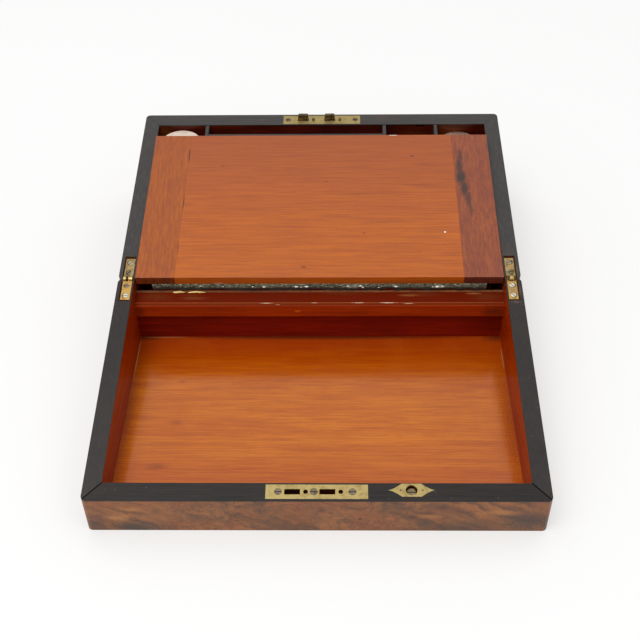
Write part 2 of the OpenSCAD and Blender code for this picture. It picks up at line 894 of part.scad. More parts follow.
module lozenge_plate() {
    color("#b39552") at_lozenge() difference() {
        translate([0, 0, -plate_t]) linear_extrude(plate_t) lozenge_outline(0);
        translate([0, 0, -5]) cylinder(r = lozenge_hole_r, h = 10);
        for (x = [-1, 1]) translate([x * lozenge_l * 0.235, 0, -5]) cylinder(r = 0.7, h = 10, $fn = 24);
    }
}

module lozenge_screw() {
    color("#9c8a5c") at_lozenge() translate([0, 0, -3.2]) screw(deep_screw);
}

module lozenge_pins() {
    color("#9c8a5c") at_lozenge() for (x = [-1, 1])
        translate([x * lozenge_l * 0.235, 0, -6]) cylinder(r = 0.65, h = 6, $fn = 24);
}

// Hinges
module hinge_leaf_base_left() {
    color("#a58a4a") hinge_leaf(-1, 1);
}

module hinge_leaf_base_right() {
    color("#a58a4a") hinge_leaf(1, 1);
}

module hinge_leaf_lid_left() {
    color("#c2a45a") hinge_leaf(-1, -1);
}

module hinge_leaf_lid_right() {
    color("#c2a45a") hinge_leaf(1, -1);
}

module hinge_pins() {
    color("#c2a45a") for (side = [-1, 1]) at_hinge(side) rotate([0, 90, 0])
        cylinder(r = pin_r, h = leaf_w - 0.2, center = true, $fn = 48);
}

module hinge_screws_base() {
    color("#9c8a5c") for (side = [-1, 1])
        at_leaf_screws(side, 1) rotate([0, 0, side > 0 ? 20 : 42]) screw(hinge_screw);
}

module hinge_screws_lid() {
    color("#9c8a5c") for (side = [-1, 1])
        at_leaf_screws(side, -1) rotate([0, 0, side > 0 ? -48 : 5]) screw(hinge_screw);
}

// Writing flaps
core_w = flap_w - 2 * clamp_w;

// The upper flap's front corners are notched, where the dark openings show
module upper_notches() {
    cut_x = inner_x - end_notch_w;
    desk_frame() for (side = [-1, 1])
        block([side > 0 ? cut_x : -flap_w, 0, -2 * flap_t],
            [side > 0 ? flap_w : -cut_x, upper_edge + upper_notch_l, 1]);
}

module upper_flap_board() {
    color("#b5683c") desk_frame()
        block([-core_w / 2, upper_edge, -flap_gap - flap_t], [core_w / 2, upper_end, -flap_gap - velvet_t]);
}

module upper_flap_clamps() {
    color("#a05a38") difference() {
        desk_frame() for (side = [-1, 1])
            block([side > 0 ? core_w / 2 : -flap_w / 2, upper_edge, -flap_gap - flap_t],
                [side > 0 ? flap_w / 2 : -core_w / 2, upper_end, -flap_gap - velvet_t]);
        upper_notches();
    }
}

module upper_flap_velvet() {
    color("#1f3a2c") difference() {
        desk_frame()
            block([-flap_w / 2, upper_edge, -flap_gap - velvet_t], [flap_w / 2, upper_end, -flap_gap]);
        upper_notches();
    }
}

// The velvet that joins the flaps hangs down in a flat loop before the upper flap
module hinge_cloth() {
    loop_front = lower_edge + 0.1;
    loop_t = upper_edge - 0.3 - loop_front;
    loop_h = 8;
    half_l = inner_x - end_notch_w;
    color("#1f3a2c") desk_frame() translate([-half_l, loop_front, -flap_gap - loop_h]) rotate([90, 0, 90])
        linear_extrude(2 * half_l) union() {
            translate([0, loop_t / 2]) square([loop_t, loop_h - loop_t / 2]);
            translate([loop_t / 2, loop_t / 2]) circle(loop_t / 2, $fn = 32);
        }
}

module lower_flap_board() {
    color("#b96a40") desk_frame()
        block([-core_w / 2, lower_edge, flap_gap + velvet_t],
            [core_w / 2, lower_edge + lower_flap_l, flap_gap + flap_t]);
}

module lower_flap_clamps() {
    color("#9e5d42") desk_frame() for (side = [-1, 1])
        block([side > 0 ? core_w / 2 : -flap_w / 2, lower_edge, flap_gap + velvet_t],
            [side > 0 ? flap_w / 2 : -core_w / 2, lower_edge + lower_flap_l, flap_gap + flap_t]);
}

module lower_flap_velvet() {
    color("#1f3a2c") desk_frame()
        block([-flap_w / 2, lower_edge, flap_gap],
            [flap_w / 2, lower_edge + lower_flap_l, flap_gap + velvet_t]);
}

base_floor();
base_left_wall();
base_right_wall();
base_back_wall();
base_front_wall();
base_veneer();
base_side_rims();
base_back_rim();
well_partition();
flap_rest();
well_floor();
divider_left();
divider_middle();
divider_right();
divider_long();
tray_bearers();
pen_tray();
inkwell_left();
inkwell_right();
inkwell_collar_left();
inkwell_collar_right();
inkwell_cap_left();
inkwell_cap_right();
lock_plate();
lock_case();
lock_spring();
lock_bolt();
steady_pins();
lock_screws();
keyhole_escutcheon();
hinge_leaf_base_left();
hinge_leaf_base_right();
hinge_screws_base();
lid_board();
lid_top_veneer();
lid_left_wall();
lid_right_wall();
lid_front_wall();
lid_hinge_wall();
lid_veneer();
lid_side_rims();
lid_front_rim();
lid_hinge_ledge();
lid_front_ledge();
strike_plate();
strike_screws();
lozenge_plate();
lozenge_screw();
lozenge_pins();
hinge_leaf_lid_left();
hinge_leaf_lid_right();
hinge_pins();
hinge_screws_lid();
upper_flap_board();
upper_flap_clamps();
upper_flap_velvet();
hinge_cloth();
lower_flap_board();
lower_flap_clamps();
lower_flap_velvet();
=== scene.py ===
import json
import math
import random

import bpy
from mathutils import Matrix, Vector
from mathutils import noise as latticeNoise


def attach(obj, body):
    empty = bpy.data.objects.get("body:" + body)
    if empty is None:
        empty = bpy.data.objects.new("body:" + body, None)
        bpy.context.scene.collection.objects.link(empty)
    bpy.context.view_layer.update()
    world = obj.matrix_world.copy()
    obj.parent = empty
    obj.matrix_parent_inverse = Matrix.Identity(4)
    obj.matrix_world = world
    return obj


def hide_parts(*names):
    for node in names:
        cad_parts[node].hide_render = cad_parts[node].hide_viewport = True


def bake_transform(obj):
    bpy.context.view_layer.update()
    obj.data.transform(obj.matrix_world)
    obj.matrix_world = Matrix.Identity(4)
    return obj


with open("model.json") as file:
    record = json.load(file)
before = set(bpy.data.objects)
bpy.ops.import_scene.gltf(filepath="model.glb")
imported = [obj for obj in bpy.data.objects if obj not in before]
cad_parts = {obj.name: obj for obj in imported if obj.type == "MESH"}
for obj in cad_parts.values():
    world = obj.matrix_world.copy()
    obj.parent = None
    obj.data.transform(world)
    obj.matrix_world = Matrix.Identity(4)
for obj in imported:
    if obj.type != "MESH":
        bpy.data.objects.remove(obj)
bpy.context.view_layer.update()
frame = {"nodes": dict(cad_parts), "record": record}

nodes = frame["nodes"]
bodyOf = {name: body for body, names in frame["record"]["behaviour"]["bodies"].items() for name in names}

# The box, in metres. The rims slope, and the writing flaps lie deskTilt degrees steeper than the rims.
case = {"width": 0.350, "halfDepth": 0.216, "baseHeight": 0.096, "lidHeight": 0.037, "sideWall": 0.014,
        "lockWall": 0.015, "deskTilt": 1.6, "foldAhead": 0.0093, "foldDepth": 0.005}
slope = math.atan((case["baseHeight"] - case["lidHeight"]) / (2 * case["halfDepth"]))
hingeHeight = (case["baseHeight"] + case["lidHeight"]) / 2
rimFrame = Matrix.Translation((0, 0, hingeHeight)) @ Matrix.Rotation(slope, 4, "X")
deskFrame = (rimFrame @ Matrix.Translation((0, -case["foldAhead"], -case["foldDepth"]))
             @ Matrix.Rotation(math.radians(case["deskTilt"]), 4, "X"))
bpy.ops.object.select_all(action="DESELECT")
print("frame loaded:", len(nodes), "CAD nodes")


# Places given in millimetres: in the box, on its sloping rims, and in the folded flaps' frame
def inBox(x, y, z):
    return Vector((x / 1000, y / 1000, z / 1000))


def onRim(x, y, z=0.0):
    return rimFrame @ inBox(x, y, z)


def onDesk(x, s, n=9.5):
    return deskFrame @ inBox(x, s, n)


def onFold(x, n):  # the front of the velvet loop
    return onDesk(x, 6.6, n)


def addNode(tree, kind, settings=None, **inputs):
    made = tree.nodes.new(kind)
    for key, value in (settings or {}).items():
        setattr(made, key, value)
    for key, value in inputs.items():
        feed(tree, made.inputs[key.replace("_", " ")], value)
    return made


def feed(tree, socket, value):
    if isinstance(value, bpy.types.NodeSocket):
        tree.links.new(value, socket)
    elif socket.type == "RGBA" and len(value) == 3:
        socket.default_value = (*value, 1)
    else:
        socket.default_value = value


def calc(tree, operation, first, second=0.0):
    made = tree.nodes.new("ShaderNodeMath")
    made.operation = operation
    for socket, value in zip(made.inputs, (first, second)):
        feed(tree, socket, value)
    return made.outputs[0]


def times(tree, first, second):
    return calc(tree, "MULTIPLY", first, second)


def calcVector(tree, operation, first, second=None):
    made = tree.nodes.new("ShaderNodeVectorMath")
    made.operation = operation
    feed(tree, made.inputs[0], first)
    if second is not None:
        feed(tree, made.inputs["Scale" if operation == "SCALE" else 1], second)
    return made.outputs["Value" if operation == "LENGTH" else "Vector"]


def axes(tree, vector):  # its X, Y and Z
    return addNode(tree, "ShaderNodeSeparateXYZ", Vector=vector).outputs


def away(tree, value, middle=0.0):  # how far a value is from the middle
    return calc(tree, "ABSOLUTE", calc(tree, "SUBTRACT", value, middle) if middle else value)


def spread(tree, value, low, high, outLow=0.0, outHigh=1.0):
    made = addNode(tree, "ShaderNodeMapRange", {"interpolation_type": "SMOOTHSTEP"})
    for socket, number in zip(made.inputs, (value, low, high, outLow, outHigh)):
        feed(tree, socket, number)
    return made.outputs[0]


def mixColour(tree, factor, first, second):
    made = addNode(tree, "ShaderNodeMix", {"data_type": "RGBA"})
    for socket, value in zip((made.inputs[0], made.inputs[6], made.inputs[7]), (factor, first, second)):
        feed(tree, socket, value)
    return made.outputs[2]


def noise(tree, vector, scale, detail=2.0, roughness=0.5, distortion=0.0, output="Fac"):
    made = addNode(tree, "ShaderNodeTexNoise", Vector=vector, Scale=scale, Detail=detail, Roughness=roughness,
                   Distortion=distortion)
    return made.outputs[output]


def stretch(tree, vector, scale, turn=(0, 0, 0), shift=(0, 0, 0)):
    return addNode(tree, "ShaderNodeMapping", Vector=vector, Scale=scale, Rotation=turn, Location=shift).outputs[0]


def tint(red, green, blue):  # screen values 0 to 255, as linear light
    return tuple(((c / 255 + 0.055) / 1.055) ** 2.4 if c > 10 else c / 255 / 12.92 for c in (red, green, blue))


# A node group whose inputs are places and numbers. giveBack names what it puts out.
def newGroup(name, places, **numbers):
    group = bpy.data.node_groups.new(name, "ShaderNodeTree")
    for title in places:
        group.interface.new_socket(title, in_out="INPUT", socket_type="NodeSocketVector")
    for title, value in numbers.items():
        group.interface.new_socket(title, in_out="INPUT", socket_type="NodeSocketFloat").default_value = value
    return group, group.nodes.new("NodeGroupInput").outputs


def giveBack(group, **results):
    for title in results:
        group.interface.new_socket(title, in_out="OUTPUT", socket_type="NodeSocketFloat")
    ends = group.nodes.new("NodeGroupOutput").inputs
    for title, value in results.items():
        feed(group, ends[title], value)
    return group


def useGroup(tree, group, **inputs):
    made = tree.nodes.new("ShaderNodeGroup")
    made.node_tree = group
    for key, value in inputs.items():
        feed(tree, made.inputs[key], value)
    return made.outputs


materials = {}  # by their names


def newMaterial(name, **sockets):
    materials[name] = bpy.data.materials.new(name)
    materials[name].use_nodes = True
    tree = materials[name].node_tree
    shader = tree.nodes["Principled BSDF"]
    for key, value in sockets.items():
        feed(tree, shader.inputs[key.replace("_", " ")], value)
    return tree, shader.inputs, tree.nodes.new("ShaderNodeTexCoord").outputs["Object"]


def cover(tree, shader, tone, height, relief, strength):  # gives the surface its colour and its slight relief
    feed(tree, shader["Base Color"], tone)
    uneven = addNode(tree, "ShaderNodeBump", Height=height, Distance=relief, Strength=strength)
    feed(tree, shader["Normal"], uneven.outputs[0])


# Straight wood grain along X: fibres, broad bands of tone, growth lines, dark pores and the height for a bump
def makeGrain():
    group, given = newGroup("woodGrain", ["Vector"], Lines=900.0, Wander=0.002, Reach=0.03)
    place, lines = given["Vector"], given["Lines"]
    slow = noise(group, stretch(group, place, (5, 14, 14)), 1.0, output="Color")
    shift = calcVector(group, "SCALE", calcVector(group, "SUBTRACT", slow, (0.5, 0.5, 0.5)), given["Wander"])
    wandered = calcVector(group, "ADD", place, shift)
    reach = addNode(group, "ShaderNodeCombineXYZ", X=given["Reach"], Y=1.0, Z=1.0).outputs[0]
    thin = calcVector(group, "MULTIPLY", wandered, reach)
    fibre = noise(group, calcVector(group, "SCALE", thin, lines), 1.0, 5.0, 0.72)
    bands = noise(group, calcVector(group, "SCALE", thin, times(group, lines, 0.11)), 1.0, 3.0, 0.6)
    ringAt = calcVector(group, "SCALE", thin, times(group, lines, 0.17))
    rings = addNode(group, "ShaderNodeTexWave", {"wave_type": "BANDS", "bands_direction": "Y", "wave_profile": "SAW"},
                    Vector=ringAt, Scale=1.0, Distortion=3.0, Detail=2.0).outputs["Fac"]
    ringShare = noise(group, stretch(group, place, (6, 40, 40)), 1.0)
    pores = spread(group, noise(group, stretch(group, wandered, (130, 3200, 3200)), 1.0, 1.0), 0.62, 0.74)
    return giveBack(group, Fibre=fibre, Bands=bands,
                    Rings=times(group, spread(group, rings, 0.45, 1.0), spread(group, ringShare, 0.35, 0.65)),
                    Pores=pores, Height=calc(group, "SUBTRACT", fibre, times(group, pores, 0.8)))


# One mark on a surface, such as a knot, stain, chip or a patch of painted shade or highlight: an oval with a ragged or
# soft edge
def makeMark():
    group, given = newGroup("surfaceMark", ["Vector", "Centre", "Size"], Soft=0.4, Strength=1.0)
    reach = calcVector(group, "DIVIDE", calcVector(group, "SUBTRACT", given["Vector"], given["Centre"]), given["Size"])
    ragged = calc(group, "SUBTRACT", noise(group, given["Vector"], 700.0, 3.0, 0.6), 0.5)
    far = calc(group, "ADD", calcVector(group, "LENGTH", reach),
               times(group, ragged, times(group, given["Soft"], 1.6)))
    inside = spread(group, far, 1.0, calc(group, "SUBTRACT", 1.0, given["Soft"]))
    return giveBack(group, Mask=times(group, inside, given["Strength"]))


# Handling marks: soft smudges, sharp specks and fine scratches
def makeWear():
    group, given = newGroup("surfaceWear", ["Vector"])
    place = given["Vector"]
    cells = addNode(group, "ShaderNodeTexVoronoi", Vector=place, Scale=260.0).outputs
    rare = addNode(group, "ShaderNodeSeparateColor", Color=cells["Color"]).outputs[0]
    specks = times(group, calc(group, "LESS_THAN", cells["Distance"], 0.16), calc(group, "GREATER_THAN", rare, 0.93))
    bent = noise(group, stretch(group, place, (60, 1500, 900), (0.2, 0.1, 0.5)), 1.0, 1.0)
    scratches = times(group, spread(group, bent, 0.70, 0.76), spread(group, noise(group, place, 35.0), 0.5, 0.65))
    return giveBack(group, Smudge=noise(group, place, 22.0, 3.0, 0.55, 0.4), Specks=specks, Scratches=scratches)


# Walnut figure: mottled burr in the middle, streaks that fall to the right towards the ends, thin dark veins
def makeWalnutFigure():
    group, given = newGroup("walnutFigure", ["Vector"])
    warp = noise(group, given["Vector"], 22.0, 4.0, 0.6, output="Color")
    warped = calcVector(group, "ADD", given["Vector"], calcVector(group, "SCALE", warp, 0.03))
    burr = noise(group, warped, 95.0, 10.0, 0.76, 0.6)
    turned = stretch(group, warped, (1, 1, 1), (math.radians(16), math.radians(-22), 0))
    streaks = noise(group, stretch(group, turned, (14, 14, 150)), 1.0, 8.0, 0.72, 0.3)
    lines = addNode(group, "ShaderNodeTexWave", {"wave_type": "BANDS", "bands_direction": "Z", "wave_profile": "SIN"},
                    Vector=turned, Scale=34.0, Distortion=9.0, Detail=3.0, Detail_Scale=0.5,
                    Detail_Roughness=0.7).outputs["Fac"]
    at = axes(group, warped)
    ends = times(group, spread(group, away(group, at["X"]), 0.085, 0.125),
                 spread(group, at["Y"], -0.15, -0.21, 0.4, 1.0))
    middle = calc(group, "SUBTRACT", 1.0, ends)
    striped = calc(group, "ADD", times(group, streaks, 0.9), times(group, lines, 0.1))
    figure = calc(group, "ADD", times(group, striped, ends), times(group, burr, middle))
    dark = noise(group, stretch(group, turned, (12, 12, 44)), 1.0, 6.0, 0.66, 0.3)
    veinNoise = noise(group, stretch(group, turned, (18, 18, 62), (0, 0, 0), (0.3, 0.1, 0.2)), 1.0, 6.0, 0.66)
    veins = spread(group, away(group, veinNoise, 0.5), 0.014, 0.0)
    eyes = addNode(group, "ShaderNodeTexVoronoi", Vector=warped, Scale=260.0).outputs
    rare = addNode(group, "ShaderNodeSeparateColor", Color=eyes["Color"]).outputs[0]
    dots = times(group, spread(group, eyes["Distance"], 0.34, 0.1), calc(group, "GREATER_THAN", rare, 0.55))
    return giveBack(group, Figure=figure, Dark=spread(group, dark, 0.53, 0.62),
                    Veins=times(group, veins, spread(group, burr, 0.4, 0.6)), Eyes=times(group, dots, middle),
                    Fine=noise(group, stretch(group, turned, (160, 160, 1100)), 1.0, 3.0, 0.6))


# Old brass: brown tarnish in clouds, small dark spots, and a slightly uneven face
def makeTarnish():
    group, given = newGroup("brassTarnish", ["Vector"])
    clouds = noise(group, given["Vector"], 170.0, 4.0, 0.6, 0.5)
    small = noise(group, given["Vector"], 900.0, 3.0, 0.6)
    return giveBack(group, Tarnish=spread(group, clouds, 0.42, 0.72), Spots=spread(group, small, 0.60, 0.70),
                    Height=calc(group, "ADD", clouds, times(group, small, 0.35)))


grain = makeGrain()
surfaceMark = makeMark()
wear = makeWear()
walnutFigure = makeWalnutFigure()
tarnish = makeTarnish()
print("effects made")


# Marks of one colour, each given by its place, half its size in mm, its strength and how soft its edge is
def marksAt(where, colour, *spots):
    return tint(*colour), [(where(*centre), size, strength, soft) for centre, size, strength, soft in spots]


def addMarks(tree, place, tone, marks):
    for colour, spots in marks:
        mask = 0.0
        for centre, size, strength, soft in spots:
            one = useGroup(tree, surfaceMark, Vector=place, Centre=tuple(centre), Size=tuple(d / 1000 for d in size),
                           Soft=soft, Strength=strength)["Mask"]
            mask = calc(tree, "MAXIMUM", one, mask)
        tone = mixColour(tree, mask, tone, colour)
    return tone


def smudgedGloss(tree, shader, marks, gloss, less=0.06, more=0.1):  # smudges change the gloss a little
    feed(tree, shader["Roughness"], spread(tree, marks["Smudge"], 0.3, 0.7, gloss - less, gloss + more))


def fromRims(tree, place):  # the same place as seen from the rims: across, along the slope, and height over them
    sunk = Matrix.Rotation(-slope, 3, "X") @ Vector((0, 0, hingeHeight))
    return axes(tree, stretch(tree, place, (1, 1, 1), (-slope, 0, 0), tuple(-sunk)))


recessBox = {"bottom": -0.0032, "halfLength": 0.0295, "innerSide": 0.1612}  # round a hinge leaf, in metres


# Plain boards. along says which way the grain runs: X or Y. ends are tones that come in between two places on Y, some
# of them painted shade.
def boardTone(tree, place, look):
    at = stretch(tree, place, (1, 1, 1), (0, 0, math.radians(90)) if look["along"] == "Y" else (0, 0, 0))
    wood = useGroup(tree, grain, Vector=at, Lines=look["lines"], Wander=look["wander"], Reach=look.get("reach", 0.03))
    marks = useGroup(tree, wear, Vector=place)
    mottle = noise(tree, stretch(tree, at, (18, 190, 190)), 1.0, 4.0, 0.65)
    cloudy = calc(tree, "ADD", times(tree, wood["Bands"], 0.4), times(tree, mottle, 0.6))
    tone = mixColour(tree, spread(tree, cloudy, 0.3, 0.7), look["dark"], look["light"])
    for start, end, colour, share in look.get("ends", []):
        tone = mixColour(tree, spread(tree, axes(tree, place)["Y"], start, end, 0.0, share), tone, colour)
    tone = mixColour(tree, spread(tree, wood["Fibre"], 0.42, 0.56, look["fibre"], 0.0), tone, look["line"])
    tone = mixColour(tree, times(tree, wood["Rings"], look.get("rings", 0.15)), tone, look["line"])
    tone = mixColour(tree, times(tree, wood["Pores"], look["pores"]), tone, look["line"])
    tone = mixColour(tree, spread(tree, marks["Smudge"], 0.5, 0.75, 0.0, look["smudge"]), tone, look["stain"])
    tone = mixColour(tree, times(tree, marks["Specks"], 0.6), tone, look["line"])
    if "end" in look:  # end grain is darker
        facing = axes(tree, tree.nodes.new("ShaderNodeTexCoord").outputs["Normal"])[look["along"]]
        endOn = spread(tree, away(tree, facing), 0.6, 0.8, 0.0, 0.92)
        tone = mixColour(tree, endOn, tone, mixColour(tree, spread(tree, mottle, 0.4, 0.6), look["end"], look["line"]))
    if "recess" in look:  # the bottoms of the hinges' recesses
        spot = fromRims(tree, place)
        inside = times(tree, calc(tree, "GREATER_THAN", spot["Z"], recessBox["bottom"]),
                       times(tree, calc(tree, "LESS_THAN", away(tree, spot["Y"]), recessBox["halfLength"]),
                             calc(tree, "GREATER_THAN", away(tree, spot["X"]), recessBox["innerSide"])))
        tone = mixColour(tree, inside, tone, look["recess"])
    return addMarks(tree, place, tone, look.get("marks", [])), wood, marks


def boardMaterial(name, look, otherSide=None):  # otherSide is the look where X is above zero
    tree, shader, place = newMaterial(name, Roughness=look["gloss"], Specular_IOR_Level=look.get("shine", 0.5))
    tone, wood, marks = boardTone(tree, place, look)
    if otherSide:
        right = calc(tree, "GREATER_THAN", axes(tree, place)["X"], 0.0)
        tone = mixColour(tree, right, tone, boardTone(tree, place, otherSide)[0])
    cover(tree, shader, tone, wood["Height"], look.get("relief", 0.00005), 0.6)
    smudgedGloss(tree, shader, marks, look["gloss"], 0.03, 0.06)


flapLook = dict(
    along="X", lines=900.0, wander=0.0016, reach=0.024, light=tint(189, 97, 8), dark=tint(177, 87, 12),
    line=tint(128, 52, 14), fibre=0.42, rings=0.3, pores=0.3, smudge=0.3, stain=tint(152, 68, 24), gloss=0.34,
    ends=[(0.03, 0.16, tint(156, 74, 26), 0.72)],
    marks=[marksAt(onDesk, (96, 40, 20), ((-13.5, 18.5), (3.2, 1.4, 3), 0.8, 0.6),
                   ((-92, 143.6), (2.4, 1.2, 3), 0.6, 0.6), ((5.9, 122.5), (2.4, 1.2, 3), 0.6, 0.6),
                   ((86.8, 156.1), (2.8, 1.5, 3), 0.8, 0.6), ((39.7, 58.1), (2, 2, 3), 0.45, 0.6),
                   ((96, 145), (14, 3, 3), 0.25, 1.0), ((90, 118), (24, 1.8, 3), 0.42, 0.9),
                   ((40, 107), (45, 1.4, 3), 0.42, 0.9), ((60, 72), (26, 4, 3), 0.22, 1.0),
                   ((-40, 66), (40, 5, 3), 0.2, 1.0), ((-125.4, 96), (1.1, 96, 2), 1.0, 0.5)),
           marksAt(onDesk, (70, 28, 18), ((-125.2, 158), (1, 24, 2), 1.0, 0.5),
                   ((-125.4, 40), (0.8, 30, 2), 0.6, 0.5)),
           marksAt(onDesk, (240, 232, 220), ((112, 59.1), (1.1, 1, 2), 1.0, 0.3),
                   ((69.7, 185.2), (5.2, 0.8, 0.8), 0.9, 0.4), ((-88, 7.2, 1.8), (6, 1, 1), 0.35, 0.7))])
clampWood = dict(along="Y", reach=0.05, pores=0.35, gloss=0.36)
clampLeft = dict(
    clampWood, lines=470.0, wander=0.014, light=tint(169, 85, 10), dark=tint(153, 73, 16), line=tint(112, 46, 14),
    fibre=0.36, rings=0.25, smudge=0.35, stain=tint(142, 62, 24), end=tint(78, 30, 12),
    marks=[marksAt(onDesk, (118, 50, 20), ((-140, 118), (4, 26, 3), 0.35, 1.0), ((-132, 140), (2, 22, 3), 0.3, 1.0))])
clampRight = dict(  # its dark marks are an old ink stain
    clampWood, lines=500.0, wander=0.012, light=tint(152, 77, 34), dark=tint(132, 61, 34), line=tint(88, 34, 26),
    fibre=0.38, rings=0.3, smudge=0.4, stain=tint(116, 54, 42), end=tint(74, 30, 16),
    marks=[marksAt(onDesk, (44, 30, 26), ((132.4, 156), (2.8, 20, 4), 0.7, 0.7),
                   ((130.8, 142), (4.6, 22, 4), 0.85, 0.7), ((131.2, 128), (6.2, 20, 4), 0.95, 0.7),
                   ((133.4, 114), (5.2, 22, 4), 0.9, 0.7), ((135.8, 101), (4, 20, 4), 0.75, 0.7),
                   ((137.4, 88), (2.6, 18, 4), 0.6, 0.7)),
           marksAt(onDesk, (92, 40, 26), ((128.6, 165), (2.6, 20, 3), 0.5, 1.0), ((127, 90), (1.4, 90, 3), 0.4, 1.0),
                   ((133, 20), (6, 24, 3), 0.3, 1.0))])
lidFloorLook = dict(
    along="X", lines=900.0, wander=0.0016, reach=0.026, light=tint(205, 116, 2), dark=tint(184, 92, 2),
    line=tint(138, 48, 4), fibre=0.42, rings=0.2, pores=0.3, smudge=0.3, stain=tint(170, 76, 6), gloss=0.13,
    # The first end is painted shade and a painted reflection of the hinge wall: the floor grows darker and redder
    # towards it
    relief=0.000012, ends=[(-0.094, -0.018, tint(144, 38, 2), 0.85), (-0.115, -0.195, tint(166, 68, 8), 0.6)],
    # Painted shade: darker strips along both side walls
    marks=[marksAt(inBox, (140, 54, 4), ((-161, -110, 8.5), (12, 110, 3), 0.75, 1.0),
                   ((161, -110, 8.5), (17, 110, 3), 0.85, 1.0)),
           # Painted shade: a dark line along the foot of the hinge wall, wider at its ends
           marksAt(inBox, (60, 24, 10), ((-158, -12.4, 8.5), (24, 7, 3), 0.8, 0.9),
                   ((158, -12.4, 8.5), (20, 10, 3), 0.7, 0.9), ((0, -12.4, 8.5), (190, 5.4, 3), 0.8, 0.8)),
           marksAt(inBox, (206, 168, 120), ((-160.4, -40, 8.5), (0.7, 30, 1.5), 0.3, 0.5),
                   ((-138, -13.4, 8.5), (24, 0.8, 1.5), 0.2, 0.5), ((160.4, -40, 8.5), (0.7, 16, 1.5), 0.2, 0.5)),
           marksAt(inBox, (108, 40, 16), ((-128, -161, 8.5), (13, 5, 3), 0.5, 1.0),
                   ((-118, -115, 8.5), (9, 4, 3), 0.4, 1.0), ((-117, -68, 8.5), (5, 2, 3), 0.4, 1.0))])
redWood = dict(along="X", lines=560.0, wander=0.004, line=tint(98, 24, 2), fibre=0.35, pores=0.35, smudge=0.35,
               stain=tint(116, 32, 4))
redWallX = dict(redWood, light=tint(168, 56, 2), dark=tint(144, 40, 2), gloss=0.2, shine=0.08)
redWallY = dict(redWood, along="Y", light=tint(172, 60, 2), dark=tint(146, 42, 2), gloss=0.2, shine=0.04,
                # Painted shade: the walls darken towards the back, inside the deep wells
                recess=tint(80, 44, 22), ends=[(0.13, 0.16, tint(52, 15, 5), 0.9)])
ledgeLook = dict(  # a dark top, a pale back edge that is worn and carries a painted highlight, scuffs along it, and painted shade at both ends
    redWood, light=tint(164, 54, 2), dark=tint(142, 40, 2), gloss=0.4, shine=0.1,
    marks=[marksAt(inBox, (100, 32, 2), ((0, -14.5, 49.7), (500, 2.6, 0.6), 0.9, 0.2)),
           # A pale line along the back edge: worn wood with a painted highlight
           marksAt(inBox, (178, 106, 58), ((0, -12.7, 49.8), (300, 0.7, 0.7), 0.55, 0.5)),
           marksAt(inBox, (232, 206, 170), ((-46, -13.2, 49.7), (7, 0.6, 0.6), 0.7, 0.8),
                   ((-36, -15, 49.4), (3, 0.4, 0.4), 0.5, 0.8), ((34, -12.9, 49.8), (8, 0.6, 0.6), 0.7, 0.8),
                   ((60, -13, 49.8), (10, 0.7, 0.7), 0.85, 0.8), ((78, -13.8, 49.6), (6, 0.5, 0.5), 0.6, 0.8),
                   ((-4, -12.9, 49.8), (4, 0.5, 0.5), 0.6, 0.8)),
           # Painted shade at both ends of the ledge, by the side walls
           marksAt(inBox, (70, 30, 14), ((152, -16.5, 43), (17, 5, 9), 0.65, 1.0),
                   ((-157, -16.5, 43), (8, 5, 9), 0.5, 1.0)),
           marksAt(inBox, (190, 104, 20), ((-19, -16.5, 43), (4, 2, 1.6), 0.6, 0.8))])
# The hinge walls are a darker copy of the red wood: painted shade
hingeWallLook = dict(
    redWood, light=tint(136, 26, 2), dark=tint(112, 16, 2), line=tint(64, 8, 2), stain=tint(84, 14, 2), gloss=0.34,
    shine=0.08,
    marks=[marksAt(inBox, (96, 25, 3), ((0, -6.8, 51.2), (400, 8.5, 2.2), 0.85, 0.2)),
           marksAt(inBox, (106, 52, 22), ((-143, -6.8, 51.2), (20, 7, 3), 0.6, 1.0),
                   ((-112, -5, 51.2), (12, 3, 3), 0.5, 1.0), ((146, -6.8, 51.2), (18, 7, 3), 0.6, 1.0),
                   ((90, -4, 51.2), (24, 3, 3), 0.5, 1.0), ((20, -3, 51.2), (30, 2, 3), 0.4, 1.0)),
           marksAt(inBox, (150, 96, 54), ((135, -3, 51.5), (9, 1.2, 2), 0.7, 0.6),
                   ((78, -5, 51.3), (12, 1.6, 2), 0.5, 0.7), ((-110, -8, 51), (16, 2, 2), 0.3, 0.9))])
# The walls and floor of the wells are a darker copy of the red wood: painted shade in the deep wells
wellWallLook = dict(
    redWood, light=tint(88, 24, 5), dark=tint(54, 11, 3), line=tint(34, 8, 2), fibre=0.4, pores=0.4, smudge=0.75,
    stain=tint(38, 12, 5), gloss=0.3, shine=0.16,
    marks=[marksAt(inBox, (104, 56, 22), ((-158, 201, 84), (14, 9, 16), 0.6, 1.0),
                   ((126, 201, 84), (20, 9, 14), 0.5, 1.0), ((92, 201, 78), (20, 9, 14), 0.35, 1.0))])
boards = {"lidFloor": lidFloorLook, "redWallX": redWallX, "redWallY": redWallY, "ledge": ledgeLook,
          "hingeWall": hingeWallLook, "wellWall": wellWallLook, "flapBoard": flapLook,
          # Painted shade: the lid's front wall is dark brown on all but its inner face
          "lockWall": dict(redWallX, ends=[(-0.2011, -0.2014, tint(44, 18, 8), 1.0)])}
for name, look in boards.items():
    boardMaterial(name, look)
boardMaterial("flapClamps", clampLeft, clampRight)

# The open corner joints run outwards from the walls' inner corners. across and along are their line's normal.
mitre = {"across": 0.731, "along": 0.683, "wide": 0.0007, "narrow": 0.0003}


